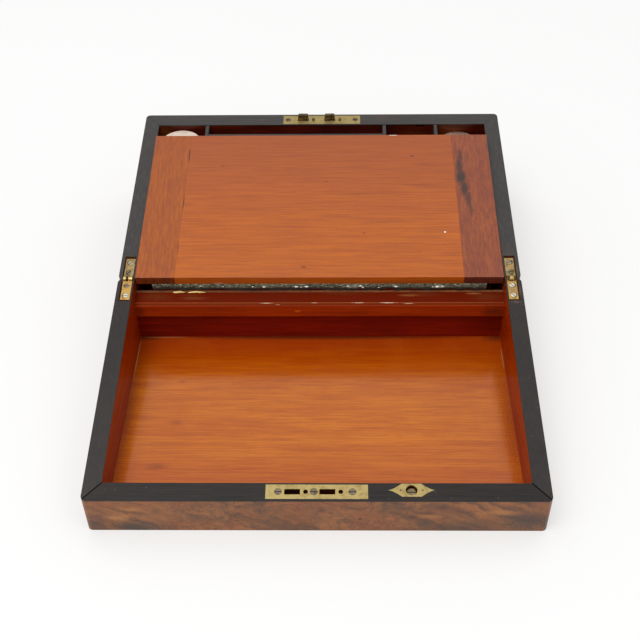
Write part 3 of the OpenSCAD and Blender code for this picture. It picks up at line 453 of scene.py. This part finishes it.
# Ebonised facings: nearly black, faint grain, brown where rubbed, dust, and corner joints that stand open
def ebonisedMaterial(name, look):
    tree, shader, place = newMaterial(name, Roughness=look["gloss"], Specular_IOR_Level=look["shine"])
    turn = (0, 0, math.radians(90)) if look["along"] == "Y" else (0, 0, 0)
    wood = useGroup(tree, grain, Vector=stretch(tree, place, (1, 1, 1), turn), Lines=900.0, Wander=0.003)
    marks = useGroup(tree, wear, Vector=place)
    tone = mixColour(tree, spread(tree, wood["Fibre"], 0.4, 0.68), look["black"], look["grey"])
    rubbed = times(tree, spread(tree, marks["Smudge"], 0.55, 0.72), spread(tree, wood["Bands"], 0.45, 0.6))
    tone = mixColour(tree, times(tree, rubbed, look["rubbed"]), tone, look["brown"])
    tone = mixColour(tree, times(tree, marks["Specks"], 0.12), tone, look["dust"])
    spot = axes(tree, place)
    across = calc(tree, "SUBTRACT", away(tree, spot["X"]), case["width"] / 2 - case["sideWall"])
    along = calc(tree, "SUBTRACT", away(tree, spot["Y"]), case["halfDepth"] - case["lockWall"])
    fromMitre = calc(tree, "SUBTRACT", times(tree, across, mitre["across"]), times(tree, along, mitre["along"]))
    crack = times(tree, spread(tree, away(tree, fromMitre), mitre["wide"], mitre["narrow"]), look["crack"])
    tone = mixColour(tree, crack, tone, tint(2, 2, 2))
    feed(tree, shader["Metallic"], crack)  # black metal sends nothing back, like the open joint
    cover(tree, shader, addMarks(tree, place, tone, look.get("marks", [])), wood["Height"], 0.00004, 0.5)
    smudgedGloss(tree, shader, marks, look["gloss"])


ebonised = dict(gloss=0.42, black=tint(12, 6, 4), grey=tint(34, 24, 19), brown=tint(74, 36, 24), rubbed=0.5,
                dust=tint(150, 146, 138), crack=0.9, shine=0.46)
# The base's facings are a lighter grey: partly their own colour, partly a painted reflection of the white room in
# their sheen
baseEbonised = dict(ebonised, shine=0.5, black=tint(36, 33, 31), grey=tint(56, 51, 48), brown=tint(72, 52, 44),
                    crack=0.2)
hingeWear = [marksAt(onRim, (98, 74, 62), ((172.6, -14), (1.8, 11, 3), 0.55, 1.0),
                     ((168, -26.6), (6, 2.2, 3), 0.6, 1.0), ((172.4, 9), (1.8, 10, 3), 0.6, 1.0),
                     ((167, 25.8), (5, 1.6, 3), 0.5, 1.0), ((-166.9, 26), (5, 1.8, 3), 0.5, 1.0),
                     ((-172.4, 6), (1.2, 9, 3), 0.3, 1.0))]
ebonisedMaterial("ebonisedX", dict(ebonised, along="X", shine=0.34))
ebonisedMaterial("ebonisedY", dict(ebonised, along="Y", marks=hingeWear))
ebonisedMaterial("baseEbonisedX", dict(baseEbonised, along="X"))
ebonisedMaterial("baseEbonisedY", dict(baseEbonised, along="Y", marks=hingeWear))

walnutLook = dict(
    light=tint(155, 97, 50), middle=tint(114, 73, 43), deep=tint(66, 48, 36), red=tint(140, 78, 42), gloss=0.36,
    shine=0.36,
    marks=[marksAt(inBox, (30, 18, 12), ((32.8, -216, 14.7), (1.8, 2, 1.2), 0.9, 0.5)),
           marksAt(inBox, (60, 48, 42), ((158, -216, 12), (36, 30, 22), 0.85, 1.0),
                   ((120, -216, 6), (34, 30, 12), 0.6, 1.0), ((-135, -216, 4), (36, 30, 11), 0.8, 1.0),
                   ((-166, -216, 12), (12, 30, 14), 0.6, 1.0)),
           marksAt(inBox, (196, 130, 66), ((-150, -216, 16), (15, 4, 5), 0.5, 1.0),
                   ((-138, -216, 26), (12, 4, 3), 0.35, 1.0), ((137, -216, 23), (20, 4, 5), 0.45, 1.0),
                   ((86, -216, 18), (16, 4, 4), 0.35, 1.0)),
           marksAt(inBox, (64, 42, 32), ((72, -216, 17), (6, 4, 3), 0.6, 1.0), ((82, -216, 22), (7, 4, 3), 0.6, 1.0),
                   ((93, -216, 29), (7, 4, 3), 0.6, 1.0), ((104, -216, 35), (7, 4, 3), 0.55, 1.0),
                   ((-58, -216, 30), (3.5, 3, 3), 0.6, 1.0), ((-13, -216, 27), (4, 3, 3), 0.5, 1.0))])


# Walnut veneer with worn polish
def walnutMaterial(look):
    tree, shader, place = newMaterial("walnutVeneer", Roughness=look["gloss"], Specular_IOR_Level=look["shine"])
    figure = useGroup(tree, walnutFigure, Vector=place)
    marks = useGroup(tree, wear, Vector=place)
    tone = mixColour(tree, spread(tree, figure["Figure"], 0.34, 0.62), look["deep"], look["light"])
    tone = mixColour(tree, spread(tree, marks["Smudge"], 0.42, 0.6, 0.15, 0.6), tone, look["red"])
    tone = mixColour(tree, times(tree, figure["Dark"], 0.5), tone, look["deep"])
    tone = mixColour(tree, spread(tree, figure["Fine"], 0.48, 0.62, 0.0, 0.5), tone, look["middle"])
    tone = mixColour(tree, times(tree, figure["Veins"], 0.7), tone, look["deep"])
    tone = mixColour(tree, times(tree, figure["Eyes"], 0.55), tone, look["deep"])
    cover(tree, shader, addMarks(tree, place, tone, look["marks"]), figure["Fine"], 0.00004, 0.5)
    smudgedGloss(tree, shader, marks, look["gloss"])


walnutMaterial(walnutLook)


# Brass, from bright to tarnished
def brassMaterial(name, look):
    tree, shader, place = newMaterial(name, Metallic=1.0, Roughness=look["gloss"])
    patina = useGroup(tree, tarnish, Vector=place)
    marks = useGroup(tree, wear, Vector=place)
    tone = mixColour(tree, times(tree, patina["Tarnish"], look["tarnish"]), look["bright"], look["brown"])
    tone = mixColour(tree, times(tree, patina["Spots"], look["spots"]), tone, look["spot"])
    tone = addMarks(tree, place, tone, look.get("marks", []))
    if "slots" in look:  # painted shade in the screws' slots, below this height over the rims
        slotShade = calc(tree, "LESS_THAN", fromRims(tree, place)["Z"], look["slots"])
        tone = mixColour(tree, slotShade, tone, tint(20, 14, 8))
        feed(tree, shader["Metallic"], spread(tree, slotShade, 0.0, 1.0, 1.0, 0.2))
    if "rings" in look:  # dirt round the screws' heads
        radius, centres = look["rings"]
        rings = [(centre, (radius, radius, radius * 2), 0.9, 0.15) for centre in centres]
        tone = addMarks(tree, place, tone, [marksAt(onRim, (34, 24, 14), *rings)])
    cover(tree, shader, tone, calc(tree, "SUBTRACT", patina["Height"], marks["Scratches"]), look["relief"], 0.5)
    feed(tree, shader["Roughness"], spread(tree, patina["Tarnish"], 0.0, 1.0, look["gloss"], look["gloss"] + 0.22))


leafScrews = [(side * 166.9, v) for side in (-1, 1) for v in (7.7, 18.8)]
lidLeafScrews = [(x, -v) for x, v in leafScrews]
plateScrews = [(-28.3, -210.2), (-1.7, -210.2), (27.1, -210.2)]
# Darker knuckles, and a painted shade line in the gap between the right lid leaf and its knuckles
darkKnucklesAndGapShade = marksAt(onRim, (30, 22, 14), ((-166.9, -0.6, 1.4), (1.3, 2.8, 3), 0.95, 0.15),
                      ((163.8, -0.4, 1.4), (1.5, 2.6, 3), 0.9, 0.2), ((169.6, -0.4, 1.4), (1.5, 2.6, 3), 0.9, 0.2),
                      ((166.9, -2.8), (4.4, 0.5, 1.5), 0.85, 0.3))
brasses = {
    "plateBrass": dict(gloss=0.50, bright=tint(168, 150, 100), brown=tint(142, 120, 76), tarnish=0.5, spots=0.25,
                       spot=tint(98, 80, 50), relief=0.000004, rings=(3.05, plateScrews)),
    "leafBright": dict(gloss=0.36, bright=tint(206, 168, 96), brown=tint(150, 106, 52), tarnish=0.6, spots=0.4,
                       spot=tint(90, 62, 34), relief=0.00001, rings=(2.9, lidLeafScrews),
                       marks=[marksAt(onRim, (166, 140, 96), ((166.9, -13), (6, 12, 4), 0.75, 0.5)),
                              marksAt(onRim, (168, 112, 62), ((166.4, -13.6), (2.2, 2.6, 3), 0.5, 0.8)),
                              marksAt(onRim, (96, 74, 46), ((166.9, -22.4), (4.4, 1.2, 3), 0.6, 0.8)), darkKnucklesAndGapShade]),
    "leafDull": dict(gloss=0.42, bright=tint(176, 154, 104), brown=tint(118, 94, 60), tarnish=0.8, spots=0.6,
                     spot=tint(58, 44, 30), relief=0.00002, rings=(2.9, leafScrews),
                     marks=[marksAt(onRim, (196, 134, 72), ((166.4, 13.6), (2.4, 2.8, 3), 0.6, 0.8)),
                            marksAt(onRim, (84, 68, 46), ((-167.2, 4.4), (3.4, 2.6, 3), 0.7, 0.8),
                                    ((167.4, 4.6), (3.6, 2.8, 3), 0.75, 0.8)), darkKnucklesAndGapShade]),
    "dullBrass": dict(gloss=0.42, bright=tint(158, 132, 82), brown=tint(96, 76, 48), tarnish=0.8, spots=0.5,
                      spot=tint(52, 42, 30), relief=0.00003),
    "plateScrew": dict(gloss=0.45, bright=tint(122, 108, 90), brown=tint(84, 68, 50), tarnish=0.7, spots=0.4,
                       spot=tint(48, 38, 30), relief=0.00001, slots=-0.0004),
    "baseScrew": dict(gloss=0.34, bright=tint(196, 184, 158), brown=tint(128, 110, 82), tarnish=0.7, spots=0.4,
                      spot=tint(60, 48, 34), relief=0.00001, slots=-0.00055,
                      marks=[marksAt(onRim, (72, 62, 50), ((-166.9, 7.7), (3, 3, 4), 0.65, 0.4)),
                             marksAt(onRim, (84, 72, 50), ((166.9, 7.7), (3, 3, 4), 0.7, 0.4))]),
    "brightScrew": dict(gloss=0.28, bright=tint(236, 228, 212), brown=tint(176, 160, 132), tarnish=0.5, spots=0.3,
                        spot=tint(90, 76, 58), relief=0.00001, slots=-0.00055,
                        marks=[marksAt(onRim, (128, 90, 42), ((-166.9, -7.7), (3, 3, 4), 0.8, 0.4))]),
    "deepScrew": dict(gloss=0.4, bright=tint(138, 122, 92), brown=tint(84, 68, 48), tarnish=0.8, spots=0.4,
                      spot=tint(40, 32, 24), relief=0.00002, slots=-0.0036),
    "hookBrass": dict(gloss=0.42, bright=tint(122, 104, 76), brown=tint(48, 37, 28), tarnish=1.0, spots=0.8,
                      spot=tint(26, 20, 16), relief=0.00004),
    "darkSteel": dict(gloss=0.45, bright=tint(84, 70, 58), brown=tint(52, 38, 30), tarnish=0.8, spots=0.5,
                      spot=tint(30, 22, 18), relief=0.00003),
    "capBronze": dict(gloss=0.42, bright=tint(218, 188, 166), brown=tint(184, 152, 130), tarnish=0.8, spots=0.4,
                      spot=tint(120, 98, 80), relief=0.00003),
}
for name, look in brasses.items():
    brassMaterial(name, look)


# Pale cap: plated metal with a matt bloom and grey scuffs
paleCapLook = dict(gloss=0.5, plate=tint(224, 206, 190), bloom=tint(198, 176, 158), bloomed=0.6,
                   scuff=tint(120, 104, 86), scuffed=0.3, relief=0.00005)


def paleCapMaterial(look):
    tree, shader, place = newMaterial("paleCap", Roughness=look["gloss"])
    patina = useGroup(tree, tarnish, Vector=place)
    tone = mixColour(tree, times(tree, patina["Tarnish"], look["bloomed"]), look["plate"], look["bloom"])
    tone = mixColour(tree, times(tree, patina["Spots"], look["scuffed"]), tone, look["scuff"])
    cover(tree, shader, tone, patina["Height"], look["relief"], 0.5)


paleCapMaterial(paleCapLook)


# Velvet: short dark green pile, rubbed grey, with sheen. Its back, seen in the fold, is worn and stained with glue,
# with painted shade on its lower part.
def velvetMaterial(name, look):
    tree, shader, place = newMaterial(name, Roughness=0.9, Sheen_Weight=look["sheen"], Sheen_Roughness=0.4)
    pile = noise(tree, place, look["pile"], 3.0, 0.65)
    marks = useGroup(tree, wear, Vector=place)
    tone = mixColour(tree, spread(tree, pile, 0.38, 0.62), look["dark"], look["light"])
    tone = mixColour(tree, spread(tree, marks["Smudge"], 0.5, 0.75, 0.0, look["worn"]), tone, look["rubbed"])
    flecks = noise(tree, stretch(tree, place, (300, 1100, 1100)), 1.0, 3.0, 0.7)
    tone = mixColour(tree, spread(tree, flecks, 0.55, 0.63, 0.0, look["flecks"]), tone, tint(206, 204, 180))
    cover(tree, shader, addMarks(tree, place, tone, look.get("marks", [])), pile, 0.0002, 0.8)


velvets = {
    "velvetPile": dict(sheen=0.35, pile=2600.0, dark=tint(14, 26, 18), light=tint(40, 58, 42), worn=0.5, flecks=0.0,
                       rubbed=tint(66, 72, 54)),
    "velvetBack": dict(
        sheen=0.1, pile=800.0, dark=tint(20, 28, 20), light=tint(108, 114, 90), worn=0.5, flecks=0.9,
        rubbed=tint(104, 104, 80),
        # Painted shade: near black along the lower part of the loop, and in a few patches
        marks=[marksAt(onFold, (7, 8, 6), ((0, -5.9), (600, 4, 2.3), 0.9, 0.5), ((-134, -3.2), (5, 4, 1.4), 0.9, 0.6),
                       ((-121, -3.6), (6, 4, 1.1), 0.9, 0.6), ((-12, -4), (14, 4, 0.9), 0.8, 0.7),
                       ((60, -3.8), (10, 4, 0.9), 0.8, 0.7)),
               marksAt(onFold, (178, 182, 160), ((32, -2.5), (8, 3, 4), 0.6, 1.0), ((26, -3), (3, 3, 3), 0.8, 0.6),
                       ((105, -3), (7, 3, 2.4), 0.8, 0.5), ((66.5, -3), (4, 3, 2), 0.8, 0.5),
                       ((-15, -3), (9, 3, 1.6), 0.6, 0.6), ((-48, -2.6), (3, 3, 2), 0.8, 0.5),
                       ((-103, -2), (4, 3, 1.6), 0.6, 0.6))]),
}
for name, look in velvets.items():
    velvetMaterial(name, look)


# A plain stuff of two tones that change with a fine noise, which also makes it uneven
def mottledMaterial(name, look):
    tree, shader, place = newMaterial(name, Roughness=look["gloss"])
    mottle = noise(tree, stretch(tree, place, look["scale"]), 1.0, 3.0, look["rough"])
    tone = mixColour(tree, spread(tree, mottle, 0.35, 0.65), look["pale"], look["deep"])
    cover(tree, shader, tone, mottle, 0.0001, 0.6)


mottledMaterial("oldGlue", dict(gloss=0.55, scale=(1600, 1600, 1600), rough=0.5, pale=tint(255, 255, 250),
                                deep=tint(214, 214, 196)))
mottledMaterial("splinterWood", dict(gloss=0.5, scale=(120, 2600, 2600), rough=0.6, pale=tint(252, 236, 158),
                                     deep=tint(226, 190, 98)))


# Clear bottle glass with a faint green tinge and pressing waves
glassLook = dict(gloss=0.05, bend=1.5, waves=120.0, clear=tint(226, 238, 232), tinge=tint(240, 246, 242),
                 relief=0.0001)


def glassMaterial(look):
    tree, shader, place = newMaterial("bottleGlass", Roughness=look["gloss"], Transmission_Weight=1.0,
                                      IOR=look["bend"])
    waves = noise(tree, place, look["waves"])
    cover(tree, shader, mixColour(tree, waves, look["clear"], look["tinge"]), waves, look["relief"], 0.3)


glassMaterial(glassLook)
print("materials made")


def applyModifier(piece, name, kind, **values):
    made = piece.modifiers.new(name, kind)
    for key, value in values.items():
        setattr(made, key, value)
    bpy.ops.object.modifier_apply(modifier=name)


def selectOnly(*pieces):
    bpy.ops.object.select_all(action="DESELECT")
    for piece in pieces:
        piece.select_set(True)
    bpy.context.view_layer.objects.active = pieces[0]


def newPiece(name, mesh):
    piece = bpy.data.objects.new(name, mesh)
    bpy.context.scene.collection.objects.link(piece)
    selectOnly(piece)
    return piece


def onWholeMesh(operator, **values):
    bpy.ops.object.mode_set(mode="EDIT")
    bpy.ops.mesh.select_all(action="SELECT")
    operator(**values)
    bpy.ops.object.mode_set(mode="OBJECT")


# A copy of a CAD node with softened edges, which stands for it. Widths in metres, angles in degrees
softening = {"merge": 0.000002, "segments": 2, "roundFrom": 25, "smoothTo": 20}


def softCopy(name, nodeName, edge, material):
    piece = newPiece(name, nodes[nodeName].data.copy())
    onWholeMesh(bpy.ops.mesh.remove_doubles, threshold=softening["merge"])
    bpy.ops.mesh.customdata_custom_splitnormals_clear()
    if edge:
        applyModifier(piece, "edge", "BEVEL", width=edge, segments=softening["segments"],
                      angle_limit=math.radians(softening["roundFrom"]), miter_outer="MITER_ARC")
    bpy.ops.object.shade_smooth_by_angle(angle=math.radians(softening["smoothTo"]))
    applyModifier(piece, "even", "WEIGHTED_NORMAL", weight=100, keep_sharp=True)  # the large faces stay flat
    piece.data.materials.clear()
    piece.data.materials.append(materials[material])
    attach(piece, bodyOf[nodeName])
    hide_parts(nodeName)


softened = {  # the CAD node, how wide its edges are rounded, and the finish
    "baseWalnut": ("base_veneer", 0.0005, "walnutVeneer"),
    "baseRimSides": ("base_side_rims", 0.0003, "baseEbonisedY"),
    "baseRimBack": ("base_back_rim", 0.0003, "baseEbonisedX"),
    "lidRimSides": ("lid_side_rims", 0.0003, "ebonisedY"),
    "lidRimFront": ("lid_front_rim", 0.0003, "ebonisedX"),
    "dividerLeft": ("divider_left", 0.0004, "baseEbonisedY"),
    "dividerMiddle": ("divider_middle", 0.0004, "baseEbonisedY"),
    "dividerRight": ("divider_right", 0.0004, "baseEbonisedY"),
    "dividerLong": ("divider_long", 0.0004, "baseEbonisedX"),
    "lowerBoard": ("lower_flap_board", 0.00015, "flapBoard"),
    "upperBoard": ("upper_flap_board", 0.00015, "flapBoard"),
    "lowerClamps": ("lower_flap_clamps", 0.0003, "flapClamps"),
    "upperClamps": ("upper_flap_clamps", 0.0003, "flapClamps"),
    "lidFloor": ("lid_board", 0, "lidFloor"),
    "hingeLedge": ("lid_hinge_ledge", 0.0002, "ledge"),
    "frontLedge": ("lid_front_ledge", 0.0005, "redWallX"),
    "penTray": ("pen_tray", 0.0004, "redWallX"),
    "lockPlate": ("lock_plate", 0.00012, "plateBrass"),
    "strikePlate": ("strike_plate", 0.00012, "plateBrass"),
    "lozengePlate": ("lozenge_plate", 0.00012, "plateBrass"),
    "leafBaseLeft": ("hinge_leaf_base_left", 0.0001, "leafDull"),
    "leafBaseRight": ("hinge_leaf_base_right", 0.0001, "leafDull"),
    "leafLidLeft": ("hinge_leaf_lid_left", 0.0001, "leafBright"),
    "leafLidRight": ("hinge_leaf_lid_right", 0.0001, "leafBright"),
    "capLeft": ("inkwell_cap_left", 0, "paleCap"),
    "capRight": ("inkwell_cap_right", 0, "capBronze"),
    "boltHooks": ("lock_bolt", 0.0002, "hookBrass"),
    "lidWalnut": ("lid_veneer", 0.0004, "walnutVeneer"),
    "lidTopWalnut": ("lid_top_veneer", 0.0004, "walnutVeneer"),
}
for name, values in softened.items():
    softCopy(name, *values)

# The finishes of the CAD nodes that show as they are
finishes = {
    "redWallY": ["base_left_wall", "base_right_wall", "lid_left_wall", "lid_right_wall", "tray_bearers"],
    "redWallX": ["flap_rest", "base_floor"],
    "lockWall": ["lid_front_wall"],
    "wellWall": ["base_back_wall", "well_partition", "well_floor"],
    "hingeWall": ["lid_hinge_wall", "base_front_wall"],
    "baseScrew": ["hinge_screws_base"],
    "brightScrew": ["hinge_screws_lid"],
    "plateScrew": ["lock_screws", "strike_screws", "lozenge_pins", "steady_pins"],
    "deepScrew": ["lozenge_screw"],
    "dullBrass": ["lock_case", "keyhole_escutcheon", "hinge_pins", "inkwell_collar_left", "inkwell_collar_right"],
    "darkSteel": ["lock_spring"],
    "bottleGlass": ["inkwell_left", "inkwell_right"],
}
for material, names in finishes.items():
    for name in names:
        nodes[name].material_slots[0].material = materials[material]
print("pieces made:", len(softened))


# A cloth from rows of middle points: thickened, with its edge rounded. wander shifts its points a little
cloth = {"thickness": 0.0006, "edge": 0.00015, "sharpFrom": 50, "waves": 0.09}


def clothFromRows(name, rows, material):
    columns = len(rows[0])
    faces = [(i * columns + j, i * columns + j + 1, (i + 1) * columns + j + 1, (i + 1) * columns + j)
             for i in range(len(rows) - 1) for j in range(columns - 1)]
    mesh = bpy.data.meshes.new(name)
    mesh.from_pydata([point for row in rows for point in row], [], faces)
    piece = newPiece(name, mesh)
    applyModifier(piece, "thickness", "SOLIDIFY", thickness=cloth["thickness"], offset=0.0)
    applyModifier(piece, "edge", "BEVEL", width=cloth["edge"], segments=2,
                  angle_limit=math.radians(cloth["sharpFrom"]))
    onWholeMesh(bpy.ops.mesh.normals_make_consistent, inside=False)
    bpy.ops.object.shade_smooth_by_angle(angle=math.radians(cloth["sharpFrom"]))
    piece.data.materials.append(materials[material])
    return piece


def wander(x, y, seed, size):  # a smooth small shift that differs from place to place
    return latticeNoise.noise(Vector((x * cloth["waves"], y * cloth["waves"], seed))) * size


# The velvet on each flap, from the fold to the far edge, in the flaps' own millimetres
velvetCut = {"width": 318.4, "rows": 48, "columns": 80, "fray": 0.3, "swell": 0.08}
velvetSheets = {
    "velvetLower": {"node": "lower_flap_velvet", "carrier": "lower_flap_board", "n": 0.5, "from": 7.9, "to": 185.0,
                    "seed": 3.0},
    "velvetUpper": {"node": "upper_flap_velvet", "carrier": "upper_flap_board", "n": -0.5, "from": 10.9, "to": 160.5,
                    "seed": 7.0},
}
for name, sheet in velvetSheets.items():
    rows = []
    for i in range(velvetCut["rows"] + 1):
        s = sheet["from"] + (sheet["to"] - sheet["from"]) * i / velvetCut["rows"]
        row = []
        for j in range(velvetCut["columns"] + 1):
            x = -velvetCut["width"] / 2 + velvetCut["width"] * j / velvetCut["columns"]
            if j in (0, velvetCut["columns"]):
                x += wander(s, 0, sheet["seed"], velvetCut["fray"])
            shift = wander(x, 0, sheet["seed"] + 5, velvetCut["fray"]) if i in (0, velvetCut["rows"]) else 0.0
            row.append(onDesk(x, s + shift, sheet["n"] + wander(x, s, sheet["seed"] + 9, velvetCut["swell"])))
        rows.append(row)
    piece = clothFromRows(name, rows, "velvetPile")
    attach(piece, bodyOf[sheet["node"]])
    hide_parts(sheet["node"])

# The loop of velvet between the flaps, which hangs in front of the upper flap's edge when they lie folded
foldLoop = {"halfLength": 145.8, "steps": 150, "glued": 0.5, "slackOver": 2.5, "sway": 0.75, "lift": 1.5,
            "path": [(10.7, -0.5), (10.1, -0.5), (9.5, -0.62), (9.2, -1.6), (9.0, -4.0), (8.7, -6.4), (8.1, -7.4),
                     (7.5, -7.2), (7.15, -6.0), (6.95, -4.2), (6.8, -2.4), (6.85, -0.95), (6.95, -0.42), (7.15, 0.42),
                     (7.6, 0.5)]}
rows = []
for i in range(foldLoop["steps"] + 1):
    x = foldLoop["halfLength"] * (2 * i / foldLoop["steps"] - 1)
    row = []
    for s, n in foldLoop["path"]:
        free = min(1.0, max(0.0, (-n - foldLoop["glued"]) / foldLoop["slackOver"]))
        row.append(onDesk(x, s + free * wander(x * 2, n * 4, 1.0, foldLoop["sway"]),
                          n + free * wander(x, n, 2.0, foldLoop["lift"])))
    rows.append(row)
loop = clothFromRows("velvetFold", rows, "velvetBack")
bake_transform(loop)
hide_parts("hinge_cloth")


# Small loose pieces, joined into one
def joinPieces(name, made, smooth, material):
    selectOnly(*made)
    bpy.ops.object.join()
    piece = bpy.context.object
    piece.name = name
    bpy.ops.object.transform_apply()
    bpy.ops.object.shade_smooth_by_angle(angle=math.radians(smooth))
    piece.data.materials.append(materials[material])
    return piece


# Crumbs of old glue on the front of the fold: x and n in the flaps' millimetres, and the size
crumbs = {"places": [(-103.5, -1.6, 0.5), (-58, -2.4, 0.5), (-48.3, -2.9, 0.95), (-20, -2.6, 0.75), (-11, -2.4, 0.9),
                     (-15.5, -3.4, 0.45), (25, -2.0, 0.7), (36, -1.6, 0.8), (38, -3.4, 0.8), (66.8, -2.6, 0.85),
                     (103, -2.8, 1.0), (107.3, -2.4, 0.8), (99, -3.2, 0.5), (-84, -2.2, 0.4), (52, -3.6, 0.4)],
          "front": 6.2, "rough": 0.22, "length": (1.0, 2.0), "depth": 0.7, "height": (0.6, 1.0), "seed": 4}
chance = random.Random(crumbs["seed"])
bpy.ops.object.select_all(action="DESELECT")
made = []
for x, n, size in crumbs["places"]:
    bpy.ops.mesh.primitive_ico_sphere_add(subdivisions=2, radius=size / 1000, location=(0, 0, 0))
    crumb = bpy.context.object
    for vertex in crumb.data.vertices:
        vertex.co *= 1 + chance.uniform(-crumbs["rough"], crumbs["rough"])
    crumb.scale = (chance.uniform(*crumbs["length"]), crumbs["depth"], chance.uniform(*crumbs["height"]))
    crumb.location = onDesk(x, crumbs["front"], n)
    bpy.ops.object.transform_apply()
    made.append(crumb)
glueCrumbs = joinPieces("glueCrumbs", made, 40, "oldGlue")
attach(glueCrumbs, "upper_flap")

# Two splinters of pale wood, torn loose along the lid's edge at the fold: x, y, length and width in mm. The hinge
# wall's top rises from its front edge with the rims.
splinters = {"places": [(-123.2, -1.3, 10.5, 2.0), (-107.5, -1.3, 15.5, 1.7)], "thickness": 0.35, "wave": 0.6,
             "cuts": 7, "wallTop": 51.73, "wallEdge": -1.15, "rise": 0.1366, "clear": 0.22}
made = []
bpy.ops.object.select_all(action="DESELECT")
for x, y, length, width in splinters["places"]:
    bpy.ops.mesh.primitive_cube_add(size=1, location=(0, 0, 0))
    sliver = bpy.context.object
    bpy.ops.object.mode_set(mode="EDIT")
    bpy.ops.mesh.subdivide(number_cuts=splinters["cuts"])
    bpy.ops.object.mode_set(mode="OBJECT")
    for vertex in sliver.data.vertices:  # pointed to the right, blunter to the left
        taper = 0.9 - 0.8 * max(0.0, 2 * vertex.co.x) ** 2 - 0.5 * max(0.0, -2 * vertex.co.x) ** 5
        bend = latticeNoise.noise(Vector((vertex.co.x * 6, 0, x))) * splinters["wave"]
        vertex.co.y = vertex.co.y * taper + bend
        vertex.co.z *= taper
    sliver.scale = (length / 1000, width / 1000, splinters["thickness"] / 1000)
    sliver.rotation_euler = (slope, 0, 0)
    top = splinters["wallTop"] + (y - splinters["wallEdge"]) * splinters["rise"]
    sliver.location = inBox(x, y, top + splinters["clear"])
    bpy.ops.object.transform_apply()
    made.append(sliver)
paleSplinters = joinPieces("paleSplinters", made, 30, "splinterWood")
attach(paleSplinters, "lid")
print("cloth made")


def seenDirectly(tree):  # rays from the camera, and those that a piece mirrors or lets through
    path = tree.nodes.new("ShaderNodeLightPath").outputs
    return calc(tree, "MAXIMUM", path["Is Camera Ray"],
                calc(tree, "MAXIMUM", path["Is Glossy Ray"], path["Is Transmission Ray"]))


stage = {"floorSize": 6.0, "floorColour": tint(244, 243, 242), "floorCloud": tint(241, 240, 239),
         "glow": tint(255, 255, 255), "shade": tint(238, 236, 234), "glowShare": 0.72, "shadeReach": 0.22,
         "worldStrength": 0.56, "worldSeen": 0.95, "worldColour": (1.0, 1.0, 1.0),
         "lamp": {"place": (-0.5, -0.8, 2.3), "aim": (0, 0, 0.03), "size": 1.6, "power": 42.0}}

bpy.ops.object.select_all(action="DESELECT")
bpy.ops.mesh.primitive_plane_add(size=stage["floorSize"], location=(0, 0, 0))
floor = bpy.context.object
floor.name = "floor"
tree, shader, place = newMaterial("paleFloor", Roughness=0.9)
feed(tree, shader["Base Color"], mixColour(tree, noise(tree, place, 3.0), stage["floorColour"], stage["floorCloud"]))
# Seen directly or in a reflection, the floor is mostly an even white that keeps a light shadow
near = addNode(tree, "ShaderNodeAmbientOcclusion", {"samples": 8}, Distance=stage["shadeReach"]).outputs["AO"]
glow = addNode(tree, "ShaderNodeEmission", Strength=1.0,
               Color=mixColour(tree, spread(tree, near, 0.55, 1.0), stage["shade"], stage["glow"]))
blend = addNode(tree, "ShaderNodeMixShader", Fac=times(tree, seenDirectly(tree), stage["glowShare"]))
tree.links.new(tree.nodes["Principled BSDF"].outputs[0], blend.inputs[1])
tree.links.new(glow.outputs[0], blend.inputs[2])
tree.links.new(blend.outputs[0], tree.nodes["Material Output"].inputs["Surface"])
floor.data.materials.append(materials["paleFloor"])

world = bpy.data.worlds.new("studio")
bpy.context.scene.world = world
world.use_nodes = True
tree = world.node_tree
background = tree.nodes["Background"].inputs
background["Color"].default_value = (*stage["worldColour"], 1)
feed(tree, background["Strength"],
     spread(tree, seenDirectly(tree), 0.0, 1.0, stage["worldStrength"], stage["worldSeen"]))

lamp = stage["lamp"]
bpy.ops.object.light_add(type="AREA", location=lamp["place"])
softbox = bpy.context.object
softbox.data.size = lamp["size"]
softbox.data.energy = lamp["power"]
softbox.rotation_euler = (Vector(lamp["aim"]) - Vector(lamp["place"])).to_track_quat("-Z", "Y").to_euler()

# The camera was fitted to the corners of the rims in the photograph. focal is in pixels of its 640.
view = {"place": (0.016610, -0.686734, 0.662895), "pitch": 43.236, "yaw": -1.368, "roll": -1.006, "focal": 1046.243,
        "pixels": 640, "sensor": 36}


def setCamera():
    pitch, yaw, roll = (math.radians(view[k]) for k in ("pitch", "yaw", "roll"))
    forward = Vector((math.sin(yaw) * math.cos(pitch), math.cos(yaw) * math.cos(pitch), -math.sin(pitch)))
    level = Vector((math.cos(yaw), -math.sin(yaw), 0))
    upright = level.cross(forward)
    right = level * math.cos(roll) + upright * math.sin(roll)
    up = upright * math.cos(roll) - level * math.sin(roll)
    camera = bpy.data.objects.new("camera", bpy.data.cameras.new("camera"))
    bpy.context.scene.collection.objects.link(camera)
    camera.matrix_world = Matrix.Translation(view["place"]) @ Matrix((right, up, -forward)).transposed().to_4x4()
    camera.data.sensor_width = view["sensor"]
    camera.data.lens = view["sensor"] * view["focal"] / view["pixels"]
    camera.data.clip_start = 0.01
    bpy.context.scene.camera = camera


setCamera()
bpy.context.scene.view_settings.view_transform = "Standard"
print("stage set")
